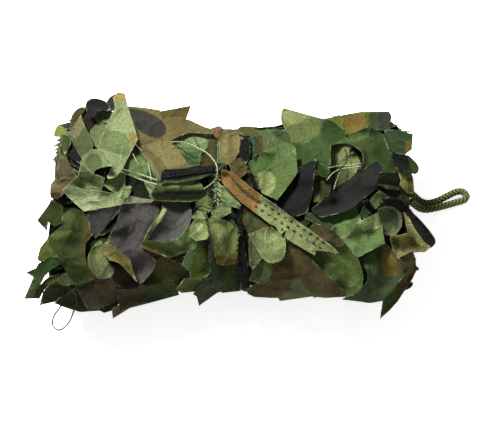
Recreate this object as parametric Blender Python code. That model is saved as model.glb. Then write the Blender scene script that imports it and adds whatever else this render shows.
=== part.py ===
"""A bundle of camouflage netting: a garnished net rolled flat, with its cloth leaves standing
out of the roll, and tied round the waist with torn strips of selvage.

Metres, +Z up. X runs along the roll, -Y is the front, and the roll rests on z = 0.
The outer surface of the roll is also used laid out flat: x along the roll, and s round it,
from the crown (s = 0) down the front (s > 0) or down the back (s < 0).
"""

import math

import bpy
import numpy as np
from mathutils.bvhtree import BVHTree

MM = 0.001

# ---- driving dimensions ----------------------------------------------------------------

# The roll's section along its length: a rounded oblong, pinched where the tie pulls it in.
STATIONS = (  # x, half depth, half height, mm
    (-216, 70, 37),
    (-180, 82, 43),
    (-140, 87, 46),
    (-100, 87, 46.5),
    (-60, 83, 44.5),
    (-25, 76, 39.5),
    (5, 73, 36),
    (35, 76, 39.5),
    (70, 81, 44),
    (110, 85, 46),
    (150, 83, 45),
    (180, 74, 41),
    (216, 62, 35),
)
SMOOTHED = 7  # how far round a place the sizes are averaged, in 200ths of the length
SQUARENESS = 2.3  # 2 is an ellipse, more is squarer
SETTLED = 3.5 * MM  # how far the round bottom is pressed flat
WAIST_LIFT = 14 * MM  # the pinched waist clears the ground
WAIST_X, WAIST_REACH = 5 * MM, 45 * MM
LUMP = 1.3 * MM  # unevenness of the rolled net

# The wound form: one long ply that spirals in to a folded heart.
ROLL_LEFT, ROLL_RIGHT = -158 * MM, 158 * MM
FRONT_JUT = 8 * MM  # the front plies reach further left than the back ones
PLY_STAGGER = 2.5 * MM
LIP_ANGLE = math.radians(106)  # where the outer ply ends, past the crown to the front
LIP_THICK, PLY_THICK, PLY_GAP = 3.0, 12.0, 1.3  # mm, at a half height of PLY_AT
PLY_AT = 46.0
TURNS, HEART_FROM = 2.3, 1.3
LIP_TAPER = 0.10  # of a turn, over which the lip thickens to the whole ply
DIP_FROM = 0.90  # of a turn: from here the ply sinks to pass under its own lip
STEPS_A_TURN, STEPS_ALONG = 26, 17

# Cloth leaves and strips
CLOTH = 1.0 * MM
CLOTH_GAP = 0.7 * MM  # between a leaf and what it lies on
LEAF_STEP = 11 * MM  # the length of a leaf's facets
WIDE, VERY_WIDE = 16 * MM, 44 * MM  # a leaf past these has one more column of facets, or two
REACH_X, REACH_S = 216 * MM, 270 * MM  # how far the laid-out surface is worked out each way
SKIN_X, SKIN_S = 4 * MM, 3 * MM  # the grid of its points
CELL = 3 * MM  # the grid that records how high the pile stands on it
CLEAR_CELLS, SOFT_CELLS = 3, 1  # a leaf clears what is this near, and bridges this softly
SEAT = 0.3 * MM  # what is left under a piece once it has been lowered on to what is there
LOWER_BY, MOST_LOWERED = 0.1 * MM, 180  # each step down, and how many are tried
TIP_HALF = 0.8 * MM
LEAST_Z = 0.4 * MM

# The view that the leaves' places are measured in: a plane square to a line of sight that
# looks down at the roll's front. Across is x, and up is up that plane.
SIGHT_ANGLE = math.radians(60)
SIGHT_Z = 43 * MM
RIM_RUN = 0.3  # a tip that stands off the rim also runs on round it, by this share

# The outline of a leaf: how wide its root is, where it is widest, and how it closes.
FORMS = {  # root share, belly, power, roundness
    "blade": (0.62, 0.35, 1.3, 1.0),
    "lobe": (0.62, 0.55, 2.2, 0.5),
    "kite": (0.25, 0.42, 1.05, 1.0),
    "tab": (0.82, 0.50, 6.0, 0.6),
    "horn": (0.80, 0.30, 1.2, 0.9),
    "flap": (0.70, 0.70, 4.0, 0.6),
    "peak": (0.92, 0.06, 1.1, 1.0),
    "arch": (0.90, 0.30, 1.3, 0.8),
    "strip": (0.95, 0.10, 9.0, 0.4),
}

# The net's cloth leaves, lowest first. Root and tip are across and up in the view, bend is to
# the left of the way from root to tip, and lift and curl raise the tip and the edges.
LAID_LEAVES = (  # name, root across, root up, tip across, tip up, width, bend, form, lift, curl, mm
    ("stitched_cloth", -58, 18, -95, 50, 34, 0, "tab", 0, 0),
    ("arch_lining", 100, 14, 106, 57, 38, 0, "tab", 0, 0),
    ("brown_sweep", -138, -66, -58, -68, 36, 0, "lobe", 0, 0),
    ("khaki_arm", -92, 78, -9, 64, 26, 7, "blade", 0, 0),
    ("khaki_fold", -70, 76, -45, 31, 34, 0, "tab", 0, 0),
    ("moss_leaf", -106, 34, -146, 20, 24, -3, "lobe", 0, 0),
    ("dark_flap", -14, 12, -68, 10, 20, 4, "blade", 0, 0),
    ("brown_roll", -126, 12, -156, 8, 20, 0, "lobe", 0, 1),
    ("pale_leaf", -76, 6, -147, 12, 27, -4, "tab", 0, 1),
    ("charcoal_round", -48, 3, -62, -35, 36, 0, "lobe", 0, 0),
    ("charcoal_long", -79, 4, -77, -70, 39, 4, "blade", 0, 1),
    ("left_kite", -127, -2, -138, -68, 42, -4, "kite", 0, 1),
    ("pale_oval", -107, -26, -117, -64, 20, 2, "lobe", 0, 0),
    ("olive_crescent", -108, -28, -80, -73, 18, -4, "horn", 0, 1),
    ("mossy_band", -28, -28, -78, -40, 25, 3, "lobe", 0, 0),
    ("green_drop", -18, -36, -33, -69, 21, 0, "lobe", 0, 0),
    ("vee_leaf", -6, -4, -1, -54, 28, 0, "tab", 0, 0),
    ("khaki_waist", -6, 34, 11, 68, 27, 0, "tab", 0, 0),
    ("spot_leaf", 42, 54, 37, 0, 42, 0, "kite", 0, 0),
    ("brown_broad", 42, -24, 73, -80, 54, 0, "tab", 0, 0),
    ("tongue", 14, -25, 50, -44, 27, 0, "lobe", 0, 0),
    ("green_lobe", 86, -28, 108, -79, 36, 0, "lobe", 0, 1),
    ("broad_leaf", 126, -26, 124, -80, 48, 0, "tab", 0, 0),
    ("big_leaf_left", 78, 18, 48, 86, 42, -2, "blade", 0, 1),
    ("big_leaf_right", 78, 56, 141, 79, 36, 4, "tab", 0, 1),
    ("black_peak", 55, -12, 77, 44, 34, 0, "peak", 0, 1),
    ("black_oval", 68, -10, 135, 37, 26, 2, "lobe", 0, 0),
    ("green_flap", 120, 4, 113, -44, 42, 0, "tab", 0, 2),
    ("arch_leaf", 140, 8, 90, 53, 34, -33, "arch", 1, 1),
)
STANDING_LEAVES = (  # the same columns: the leaves at the rim and ends, clear of the tie
    ("olive_square", -116, 40, -136, 77, 22, 0, "tab", 1, 1),
    ("black_lobe", -96, 72, -126, 90, 24, -3, "lobe", 1, 1),
    ("tall_blade", -108, 18, -97, 99, 38, 0, "kite", 1, 1),
    ("olive_spike", -80, 78, -34, 88, 12, 2, "blade", 0, 0),
    ("side_tip_high", -134, -12, -168, -13, 22, 0, "blade", 0, 1),
    ("side_tip_mid", -136, -42, -179, -59, 24, 0, "blade", 0, 1),
    ("side_tip_low", -134, -62, -180, -82, 22, 2, "blade", 0, 1),
    ("brown_tail_leaf", -44, -66, -102, -99, 19, -2, "blade", 0, 1),
    ("right_tab", 132, 57, 163, 55, 20, 0, "tab", 0, 0),
    ("dark_ear", 136, 40, 167, 34, 17, 2, "lobe", 0, 1),
    ("round_leaf", 133, 4, 148, -27, 24, 0, "lobe", 0, 1),
    ("gold_flap", 140, -8, 163, -46, 28, 0, "tab", 0, 1),
    ("corner_leaf", 146, -44, 134, -99, 28, -3, "blade", 0, 1),
    ("black_leaf", 144, 8, 180, -34, 23, 3, "lobe", 2, 2),
)

# Leaves on the back, laid out flat: two rows that point down and away from the crown.
BACK_ROWS = (  # first x, step, s of the roots, length, width, slant of the heading, mm
    (-128, 84, -92, 44, 34, 14),
    (-88, 86, -118, 40, 32, -12),
)
BACK_IN_ROW = 4

# The tie: two turns round the waist, a knot on the front of the crown, and two torn tails.
BANDS = (  # name, x at the back, x at the front, width, mm
    ("tie_turn_under", -15.5, -9, 5.5),
    ("tie_turn_over", -8.5, 13, 7.0),
)
BAND_THICK, BAND_STEPS = 1.3 * MM, 44
KNOT_ACROSS, KNOT_UP = -8 * MM, 33 * MM
KNOT_HALF = (8.0 * MM, 6.5 * MM, 3.6 * MM)  # along x, along s, and its height's half
TAILS = (  # name, root across, root up, tip across, tip up, width, bend, slant, mm
    ("tail_frayed", -15, 30, -60, 27, 11, 1.5, 0),
    ("tail_long", -2, 25, 84, -39, 12, -2, 8),
)

# Cords that show: the net's edge rope and one mesh string, each a loop that lies on the ground.
ROPE_THICK = 6.6 * MM
ROPE_ROUTE = (  # x, y, z, mm
    (162.8, 31.5, 14),
    (167.5, 29.5, 9.5),
    (173, 27.2, 5.0),
    (180, 25.8, 3.4),
    (189, 28.4, 3.4),
    (198, 33.6, 3.4),
    (206, 37.8, 3.4),
    (212, 38.2, 3.4),
    (215.4, 34, 3.4),
    (212.5, 29.2, 3.4),
    (205, 26.6, 3.4),
    (196, 23.2, 4.2),
    (186, 19.6, 5.6),
    (178, 18.2, 5.4),
    (172, 18.8, 6.6),
    (168, 20.3, 9.2),
    (162.8, 22, 14),
)
STRING_THICK = 1.2 * MM
STRING_ROUTE = (  # x, y, z, mm
    (-130, -51, 3.0),
    (-131.5, -60, 1.5),
    (-133, -69, 0.8),
    (-135, -77, 0.7),
    (-137, -85, 0.7),
    (-140, -93, 0.7),
    (-145, -99, 0.7),
    (-150, -100, 0.7),
    (-154, -95, 0.7),
    (-153.5, -87, 0.7),
    (-149, -79, 0.7),
    (-145, -70, 0.8),
    (-142, -60, 1.5),
    (-140, -51, 2.8),
)

# ---- colours: sRGB, roughness ----------------------------------------------------------

FINISHES = {
    "rolled net": ("4f6238", 0.8),
    "green leaf": ("5c8446", 0.6),
    "pale leaf": ("8fa56b", 0.6),
    "brown leaf": ("7c6b45", 0.6),
    "black leaf": ("35323a", 0.6),
    "tie strip": ("56603a", 0.8),
    "edge rope": ("4a5a2a", 0.85),
    "mesh string": ("26281f", 0.7),
}


def finish(name):
    """The material of that finish, made once."""
    made = bpy.data.materials.get(name)
    if made:
        return made
    code, rough = FINISHES[name]
    made = bpy.data.materials.new(name)
    made.use_nodes = True
    shader = made.node_tree.nodes["Principled BSDF"]
    parts = [int(code[i : i + 2], 16) / 255 for i in (0, 2, 4)]
    linear = [c / 12.92 if c < 0.04045 else ((c + 0.055) / 1.055) ** 2.4 for c in parts]
    shader.inputs["Base Color"].default_value = (*linear, 1)
    shader.inputs["Roughness"].default_value = rough
    shader.inputs["Metallic"].default_value = 0
    return made


def leaf_finish(name):
    """A leaf's finish, from the colour word that its name starts with."""
    word = name.split("_")[0]
    return {
        "black": "black leaf",
        "charcoal": "black leaf",
        "brown": "brown leaf",
        "khaki": "brown leaf",
        "pale": "pale leaf",
        "tall": "pale leaf",
    }.get(word, "green leaf")


# ---- the roll's outer surface ----------------------------------------------------------


def half_sizes(x):
    """The section's half depth and half height at x, in metres, smoothly between stations."""
    table = np.array(STATIONS, float) * MM
    at = np.linspace(table[0, 0], table[-1, 0], 200)
    window = np.hanning(2 * SMOOTHED + 1) / np.hanning(2 * SMOOTHED + 1).sum()
    found = []
    for column in (1, 2):
        straight = np.interp(at, table[:, 0], table[:, column])
        smooth = np.convolve(np.pad(straight, SMOOTHED, mode="edge"), window, mode="valid")
        found.append(np.interp(x, at, smooth))
    return found


def middle_z(x):
    """The height of the section's middle at x."""
    pinch = np.exp(-(((x - WAIST_X) / WAIST_REACH) ** 2))
    return half_sizes(x)[1] - SETTLED + WAIST_LIFT * pinch


def section(x, angle, depth=0.0):
    """Points of the roll at x and angle (0 the back, 90 degrees the crown).

    depth is how far in, as a share of the half height at PLY_AT.
    """
    a, b = half_sizes(x)
    c, s = np.cos(angle), np.sin(angle)
    lump = LUMP * np.sin(31 * x + 2 * angle + 0.6) * np.cos(52 * x - 3 * angle)
    into = depth * MM * b / (PLY_AT * MM)
    power = 2 / SQUARENESS
    y = (a + lump - into) * np.sign(c) * np.abs(c) ** power
    z = middle_z(x) + (b + lump - into) * np.sign(s) * np.abs(s) ** power
    floor = np.where(depth == 0.0, 0.0, depth * MM)
    return y, np.maximum(z, floor)


def between(grid, i, j):
    """Values of a grid at the places i and j, which may lie between its cells."""
    i, j = np.clip(i, 0, grid.shape[0] - 1.001), np.clip(j, 0, grid.shape[1] - 1.001)
    i0, j0 = i.astype(int), j.astype(int)
    u, v = i - i0, j - j0
    if grid.ndim == 3:
        u, v = u[..., None], v[..., None]
    low = grid[i0, j0] * (1 - u) + grid[i0 + 1, j0] * u
    high = grid[i0, j0 + 1] * (1 - u) + grid[i0 + 1, j0 + 1] * u
    return low * (1 - v) + high * v


class Skin:
    """The outer surface laid out flat, with its points and outward normals on a grid."""

    def __init__(self):
        self.x = np.arange(-REACH_X, REACH_X + SKIN_X / 2, SKIN_X)
        self.s = np.arange(-REACH_S, REACH_S + SKIN_S / 2, SKIN_S)
        angle = np.radians(np.linspace(-90, 270, 721))
        self.points = np.zeros((len(self.x), len(self.s), 3))
        self.half_round = np.zeros(len(self.x))
        for i, x in enumerate(self.x):
            y, z = section(x, angle)
            along = np.concatenate([[0], np.cumsum(np.hypot(np.diff(y), np.diff(z)))])
            along -= np.interp(math.radians(90), angle, along)
            self.half_round[i] = min(-along[0], along[-1])
            self.points[i, :, 0] = x
            self.points[i, :, 1] = np.interp(self.s, along, y)
            self.points[i, :, 2] = np.interp(self.s, along, z)
        d_x = np.gradient(self.points, axis=0)
        d_s = np.gradient(self.points, axis=1)
        normal = np.cross(d_s, d_x)
        size = np.linalg.norm(normal, axis=2, keepdims=True)
        down = np.array([0.0, 0.0, -1.0])
        self.normals = np.where(size > 1e-12, normal / np.maximum(size, 1e-12), down)

    def place(self, x, s, height):
        """Points that stand height off the surface at x and s."""
        i, j = (x + REACH_X) / SKIN_X, (s + REACH_S) / SKIN_S
        normal = between(self.normals, i, j)
        normal /= np.linalg.norm(normal, axis=-1, keepdims=True)
        point = between(self.points, i, j) + normal * height[..., None]
        point[..., 2] = np.maximum(point[..., 2], LEAST_Z)
        return point

    def seen(self, across, up):
        """(x, s, height) of the place that shows at across and up in the view.

        A place outside the roll's outline stands off its rim by what it is outside.
        """
        i = int(np.argmin(np.abs(self.x - across)))
        y, z = self.points[i, :, 1], self.points[i, :, 2] - SIGHT_Z
        shown = y * math.sin(SIGHT_ANGLE) + z * math.cos(SIGHT_ANGLE)
        top, bottom = int(shown.argmax()), int(shown.argmin())
        if up >= shown[top]:
            past = up - shown[top]
            return across, self.s[top] - RIM_RUN * past, past
        if up <= shown[bottom]:
            past = shown[bottom] - up
            return across, self.s[bottom] + RIM_RUN * past, past
        front = slice(top, bottom + 1)
        s = np.interp(-up, -shown[front], self.s[front])
        return across, float(s), 0.0


class Pile:
    """How high the leaves stand over the roll's surface, on a grid of x and s."""

    def __init__(self):
        across, round_it = round(2 * REACH_X / CELL) + 1, round(2 * REACH_S / CELL) + 1
        self.height = np.zeros((across, round_it))
        self.verts, self.faces = [], []

    def keep(self, verts, faces):
        """Remembers a solid that is in place, so that later ones can be seated on it."""
        start = len(self.verts)
        self.verts += [tuple(v) for v in verts]
        self.faces += [tuple(start + i for i in face) for face in faces]

    def seat(self, shape, faces):
        """How far a piece can be lowered before it would come nearer than SEAT.

        shape(drop, extra) gives its vertices when it is lowered by drop, with an underside
        that is extra thicker.
        """
        there = BVHTree.FromPolygons(self.verts, self.faces)
        drop = 0.0
        for _ in range(MOST_LOWERED):
            lower = drop + LOWER_BY
            verts = [tuple(v) for v in shape(lower, SEAT)]
            if BVHTree.FromPolygons(verts, faces).overlap(there):
                break
            drop = lower
        return drop

    def bridged(self, clear=CLEAR_CELLS, soft=SOFT_CELLS):
        """The height that a stiff cloth lies at: over all that is near, without steps."""
        reach = clear + soft
        wide = self.height
        for axis in (0, 1):
            wide = np.maximum.reduce([np.roll(wide, k, axis) for k in range(-reach, reach + 1)])
        for axis in (0, 1):
            wide = sum(np.roll(wide, k, axis) for k in range(-soft, soft + 1)) / (2 * soft + 1)
        return wide

    def read(self, grid, x, s):
        """Values of the grid, such as a bridged height, at x and s."""
        return between(grid, (x + REACH_X) / CELL, (s + REACH_S) / CELL)

    def add(self, x, s, top):
        """Records how high a sheet's top stands, all over the sheet."""
        fine = 8  # steps between two of its points, so that no cell is missed
        u = np.linspace(0, x.shape[0] - 1, (x.shape[0] - 1) * fine + 1)
        v = np.linspace(0, x.shape[1] - 1, (x.shape[1] - 1) * fine + 1)
        filled = []
        for grid in (x, s, top):
            rows = np.stack([np.interp(u, range(len(grid)), c) for c in grid.T], axis=1)
            filled.append(np.stack([np.interp(v, range(grid.shape[1]), r) for r in rows]))
        i = np.rint((filled[0] + REACH_X) / CELL).astype(int)
        j = np.rint((filled[1] + REACH_S) / CELL).astype(int)
        i, j = np.clip(i, 0, len(self.height) - 1), np.clip(j, 0, self.height.shape[1] - 1)
        np.maximum.at(self.height, (i, j), filled[2])


# ---- making solids ---------------------------------------------------------------------


def add_object(pile, name, verts, faces, material, smooth=True):
    """A closed mesh object in the scene, with its faces pointing out."""
    pile.keep(verts, faces)
    mesh = bpy.data.meshes.new(name)
    mesh.from_pydata([tuple(v) for v in verts], [], faces)
    mesh.materials.append(finish(material))
    made = bpy.data.objects.new(name, mesh)
    bpy.context.scene.collection.objects.link(made)
    if signed_volume(mesh) < 0:
        mesh.flip_normals()
    if smooth:
        mesh.shade_smooth()
        mesh.set_sharp_from_angle(angle=math.radians(50))
    return made


def signed_volume(mesh):
    """The volume inside a closed mesh, less than 0 where its faces point in."""
    total = 0.0
    for face in mesh.polygons:
        corner = [mesh.vertices[i].co for i in face.vertices]
        for b, c in zip(corner[1:-1], corner[2:]):
            total += corner[0].dot(b.cross(c))
    return total / 6


def slab_faces(rows, columns):
    """Faces of a sheet with a top and a bottom grid of vertices, closed round its rim."""
    count = rows * columns
    faces = []
    for i in range(rows - 1):
        for j in range(columns - 1):
            a, b = i * columns + j, (i + 1) * columns + j
            faces.append((a, b, b + 1, a + 1))
            faces.append((count + a, count + a + 1, count + b + 1, count + b))
    rim = [(0, j) for j in range(columns)]
    rim += [(i, columns - 1) for i in range(1, rows)]
    rim += [(rows - 1, j) for j in range(columns - 2, -1, -1)]
    rim += [(i, 0) for i in range(rows - 2, 0, -1)]
    loop = [i * columns + j for i, j in rim]
    for a, b in zip(loop, loop[1:] + loop[:1]):
        faces.append((a, a + count, b + count, b)[::-1])
    return faces


# ---- the roll --------------------------------------------------------------------------


def ply_depths():
    """For each step of the spiral: its angle, and how deep its outer and inner sides lie, mm."""
    count = round(TURNS * STEPS_A_TURN)
    outer, inner, angles = [], [], []
    for k in range(count + 1):
        turn = k / STEPS_A_TURN
        if k < STEPS_A_TURN:
            sink = np.clip((turn - DIP_FROM) / (1 - DIP_FROM), 0, 1)
            top = (LIP_THICK + PLY_GAP) * sink**2
        else:
            top = inner[k - STEPS_A_TURN] + PLY_GAP
        grown = np.clip(turn / LIP_TAPER, 0, 1)
        thick = LIP_THICK + (PLY_THICK - LIP_THICK) * grown
        heart = turn >= HEART_FROM
        outer.append(top)
        inner.append(PLY_AT - 1.2 if heart else top + thick)
        angles.append(LIP_ANGLE - 2 * math.pi * turn)
    return np.array(angles), np.array(outer), np.array(inner)


def make_roll(pile):
    """The rolled net: one thick ply swept along the roll, spiralling in to a folded heart."""
    angles, outer, inner = ply_depths()
    front = (1 - np.cos(angles)) / 2
    turn = np.arange(len(angles)) / STEPS_A_TURN
    left = ROLL_LEFT - FRONT_JUT * front + PLY_STAGGER * np.sin(9 * turn)
    right = ROLL_RIGHT + PLY_STAGGER * np.cos(11 * turn)
    verts = []
    for depths in (outer, inner):
        for angle, depth, x0, x1 in zip(angles, depths, left, right):
            x = np.linspace(x0, x1, STEPS_ALONG)
            y, z = section(x, angle, depth)
            verts += np.column_stack([x, y, z]).tolist()
    add_object(pile, "rolled_net", verts, slab_faces(len(angles), STEPS_ALONG), "rolled net")


# ---- leaves, tie and cords -------------------------------------------------------------


def half_width(form, t):
    """A leaf's half width at t from root to tip, as a share of its widest."""
    root, belly, power, roundness = FORMS[form]
    rise = root + (1 - root) * np.sin(np.clip(t / belly, 0, 1) * math.pi / 2)
    past = np.clip((t - belly) / (1 - belly), 0, 1)
    return rise * (1 - past**power) ** roundness


def spine(root, tip, bend, t):
    """Points and left-hand normals of a leaf's bent middle line, laid out flat."""
    root, tip = np.array(root), np.array(tip)
    run = tip - root
    left = np.array([run[1], -run[0]]) / np.linalg.norm(run)
    control = (root + tip) / 2 + left * 2 * bend
    t = t[:, None]
    line = (1 - t) ** 2 * root + 2 * t * (1 - t) * control + t**2 * tip
    heading = 2 * (1 - t) * (control - root) + 2 * t * (tip - control)
    heading /= np.linalg.norm(heading, axis=1, keepdims=True)
    return line, np.column_stack([heading[:, 1], -heading[:, 0]]), heading


def sheet_over(skin, pile, name, root, tip, width, bend, form, lift, curl, slant=0.0):
    """A leaf or strip of cloth laid over what is there, from root to tip: (x, s, height)."""
    length = math.hypot(tip[0] - root[0], tip[1] - root[1]) + abs(bend)
    rows = max(5, math.ceil(length / LEAF_STEP) + 1)
    columns = 3 + (width > WIDE) + (width > VERY_WIDE)
    t = np.linspace(0, 1, rows)
    across = np.linspace(-1, 1, columns)
    line, side, heading = spine(root[:2], tip[:2], bend, t)
    half = np.maximum(half_width(form, t) * width / 2, TIP_HALF)
    offset = half[:, None] * across[None, :]
    ahead = slant * t[:, None] ** 2 * across[None, :]
    x = line[:, 0:1] + side[:, 0:1] * offset + heading[:, 0:1] * ahead
    s = line[:, 1:2] + side[:, 1:2] * offset + heading[:, 1:2] * ahead
    rim_lift = root[2] + (tip[2] - root[2]) * t[:, None]
    curled = lift * t[:, None] ** 2 + curl * across[None, :] ** 2 * (0.4 + 0.6 * t[:, None])
    height = pile.read(pile.bridged(), x, s) + CLOTH_GAP + CLOTH / 2 + rim_lift + curled
    faces = slab_faces(rows, columns)

    def shape(drop, extra):
        top = skin.place(x, s, height - drop + CLOTH / 2)
        bottom = skin.place(x, s, height - drop - CLOTH / 2 - extra)
        return np.concatenate([top.reshape(-1, 3), bottom.reshape(-1, 3)])

    drop = pile.seat(shape, faces)
    pile.add(x, s, height - drop + CLOTH / 2)
    return pile, name, shape(drop, 0.0), faces


def make_leaves(skin, pile, table):
    """The leaves of one table."""
    for name, x0, u0, x1, u1, width, bend, form, lift, curl in table:
        root, tip = skin.seen(x0 * MM, u0 * MM), skin.seen(x1 * MM, u1 * MM)
        sizes = [v * MM for v in (width, bend, lift, curl)]
        made = sheet_over(skin, pile, name, root, tip, sizes[0], sizes[1], form, *sizes[2:])
        add_object(*made, leaf_finish(name))


def make_back_leaves(skin, pile):
    """Two rows of leaves down the back."""
    for row, (x0, step, s0, length, width, slant) in enumerate(BACK_ROWS):
        for k in range(BACK_IN_ROW):
            x = (x0 + step * k) * MM
            turned = slant if k % 2 else -slant
            root = (x, s0 * MM, 0.0)
            tip = (x + turned * MM, (s0 - length) * MM, 0.0)
            form = ("lobe", "blade", "tab", "kite")[(k + row) % 4]
            name = f"back_leaf_{row + 1}_{k + 1}"
            made = sheet_over(skin, pile, name, root, tip, width * MM, 3 * MM, form, 0, 1 * MM)
            add_object(*made, "green leaf" if k % 2 else "brown leaf")


def make_band(skin, pile, name, x_back, x_front, width):
    """One turn of the tie: a flat ring drawn tight over all that it crosses."""
    share = np.arange(BAND_STEPS) / BAND_STEPS - 0.5
    toward = (1 - np.cos(np.clip(share * 4, 0, 1) * math.pi)) / 2
    back_again = (1 - np.cos(np.clip((0.5 - share) * 8, 0, 1) * math.pi)) / 2
    middle = x_back + (x_front - x_back) * toward * back_again
    edge = width / 2
    x = np.stack([middle - edge, middle + edge], axis=1)
    s = share[:, None] * 2 * np.interp(x, skin.x, skin.half_round)
    level = pile.read(pile.bridged(2, 4), x, s).max(axis=1)
    level = sum(np.roll(level, k) for k in (-1, 0, 1)) / 3
    level = np.maximum(level, pile.read(pile.bridged(2, 1), x, s).max(axis=1))
    height = np.repeat(level[:, None], 2, axis=1) + CLOTH_GAP + BAND_THICK / 2
    faces = []
    for k in range(BAND_STEPS):
        after = (k + 1) % BAND_STEPS
        for e in range(4):
            f = (e + 1) % 4
            faces.append((4 * k + e, 4 * after + e, 4 * after + f))
            faces.append((4 * k + e, 4 * after + f, 4 * k + f))
    pile.add(x, s, height + BAND_THICK / 2)
    top = skin.place(x, s, height + BAND_THICK / 2)
    bottom = skin.place(x, s, height - BAND_THICK / 2)
    verts = np.stack([top[:, 0], top[:, 1], bottom[:, 1], bottom[:, 0]], axis=1)
    add_object(pile, name, verts.reshape(-1, 3), faces, "tie strip")


def make_knot(skin, pile):
    """The knot: a squat lump with the folds of three wraps raised in it."""
    x0, s0, _ = skin.seen(KNOT_ACROSS, KNOT_UP)
    half_x, half_s, half_h = KNOT_HALF
    near = pile.read(pile.bridged(3, 0), np.array([x0]), np.array([s0]))[0]
    middle = near + CLOTH_GAP + half_h
    rings, sides = 7, 14
    verts = [[x0, s0, middle + half_h]]
    for i in range(1, rings):
        tilt = math.pi * i / rings
        for j in range(sides):
            turn = 2 * math.pi * j / sides
            wrap = 1 + 0.10 * math.cos(3 * turn + 1.0)
            out = math.sin(tilt) ** 0.8 * wrap
            verts.append(
                [
                    x0 + half_x * out * math.cos(turn),
                    s0 + half_s * out * math.sin(turn),
                    middle + half_h * math.cos(tilt),
                ]
            )
    verts.append([x0, s0, middle - half_h])
    faces = [(0, 1 + j, 1 + (j + 1) % sides) for j in range(sides)]
    for i in range(rings - 2):
        for j in range(sides):
            a, b = 1 + i * sides + j, 1 + i * sides + (j + 1) % sides
            faces.append((a, a + sides, b + sides, b))
    last, start = len(verts) - 1, 1 + (rings - 2) * sides
    faces += [(last, start + (j + 1) % sides, start + j) for j in range(sides)]
    flat = np.array(verts)

    def shape(drop, extra):
        return skin.place(flat[:, 0], flat[:, 1], flat[:, 2] - drop - extra)

    placed = shape(pile.seat(shape, faces), 0.0)
    add_object(pile, "tie_knot", placed, faces, "tie strip")


def make_tie(skin, pile):
    """Both turns of the tie, its two torn tails, and the knot over their roots."""
    for name, x_back, x_front, width in BANDS:
        make_band(skin, pile, name, x_back * MM, x_front * MM, width * MM)
    for name, x0, u0, x1, u1, width, bend, slant in TAILS:
        root, tip = skin.seen(x0 * MM, u0 * MM), skin.seen(x1 * MM, u1 * MM)
        made = sheet_over(
            skin, pile, name, root, tip, width * MM, bend * MM, "strip", 0, 0, slant * MM
        )
        add_object(*made, "tie strip")
    make_knot(skin, pile)


def smooth_route(route, spacing):
    """Evenly spaced points of a smooth curve through a cord's own points."""
    points = np.array(route, float) * MM
    padded = np.vstack([2 * points[0] - points[1], points, 2 * points[-1] - points[-2]])
    fine = []
    for p0, p1, p2, p3 in zip(padded, padded[1:], padded[2:], padded[3:]):
        for u in np.linspace(0, 1, 24, endpoint=False):
            a, b = (p2 - p0) / 2, (p3 - p1) / 2
            fine.append(
                (2 * u**3 - 3 * u**2 + 1) * p1
                + (u**3 - 2 * u**2 + u) * a
                + (3 * u**2 - 2 * u**3) * p2
                + (u**3 - u**2) * b
            )
    fine = np.array([*fine, points[-1]])
    along = np.concatenate([[0], np.cumsum(np.linalg.norm(np.diff(fine, axis=0), axis=1))])
    count = max(2, round(along[-1] / spacing) + 1)
    at = np.linspace(0, along[-1], count)
    return np.stack([np.interp(at, along, fine[:, k]) for k in range(3)], axis=1)


def make_cord(name, route, thick, spacing, material):
    """A free cord: a round tube along its route."""
    points = smooth_route(route, spacing)
    curve = bpy.data.curves.new(name, "CURVE")
    curve.dimensions = "3D"
    curve.bevel_depth = thick / 2
    curve.bevel_resolution = 2
    curve.use_fill_caps = True
    spline = curve.splines.new("POLY")
    spline.points.add(len(points) - 1)
    for target, point in zip(spline.points, points):
        target.co = (*point, 1)
    curve.materials.append(finish(material))
    made = bpy.data.objects.new(name, curve)
    bpy.context.scene.collection.objects.link(made)


def centre_over_origin():
    """Moves everything so that the box of the roll, its leaves and its tie is centred."""
    meshes = [made.data for made in bpy.data.objects if made.type == "MESH"]
    points = np.array([vertex.co for mesh in meshes for vertex in mesh.vertices])
    middle = (points.min(axis=0) + points.max(axis=0)) / 2
    for made in bpy.data.objects:
        made.location = (-middle[0], -middle[1], 0)


def main():
    for old in list(bpy.data.objects):
        bpy.data.objects.remove(old, do_unlink=True)
    skin, pile = Skin(), Pile()
    make_roll(pile)
    make_back_leaves(skin, pile)
    make_leaves(skin, pile, LAID_LEAVES)
    make_tie(skin, pile)
    make_leaves(skin, pile, STANDING_LEAVES)
    make_cord("rope_loop", ROPE_ROUTE, ROPE_THICK, ROPE_THICK, "edge rope")
    make_cord("string_loop", STRING_ROUTE, STRING_THICK, 2.5 * STRING_THICK, "mesh string")
    centre_over_origin()


main()
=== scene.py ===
import math
from collections import namedtuple

import bpy
import numpy as np
from mathutils import Matrix, Vector, noise
from mathutils.geometry import delaunay_2d_cdt


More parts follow.
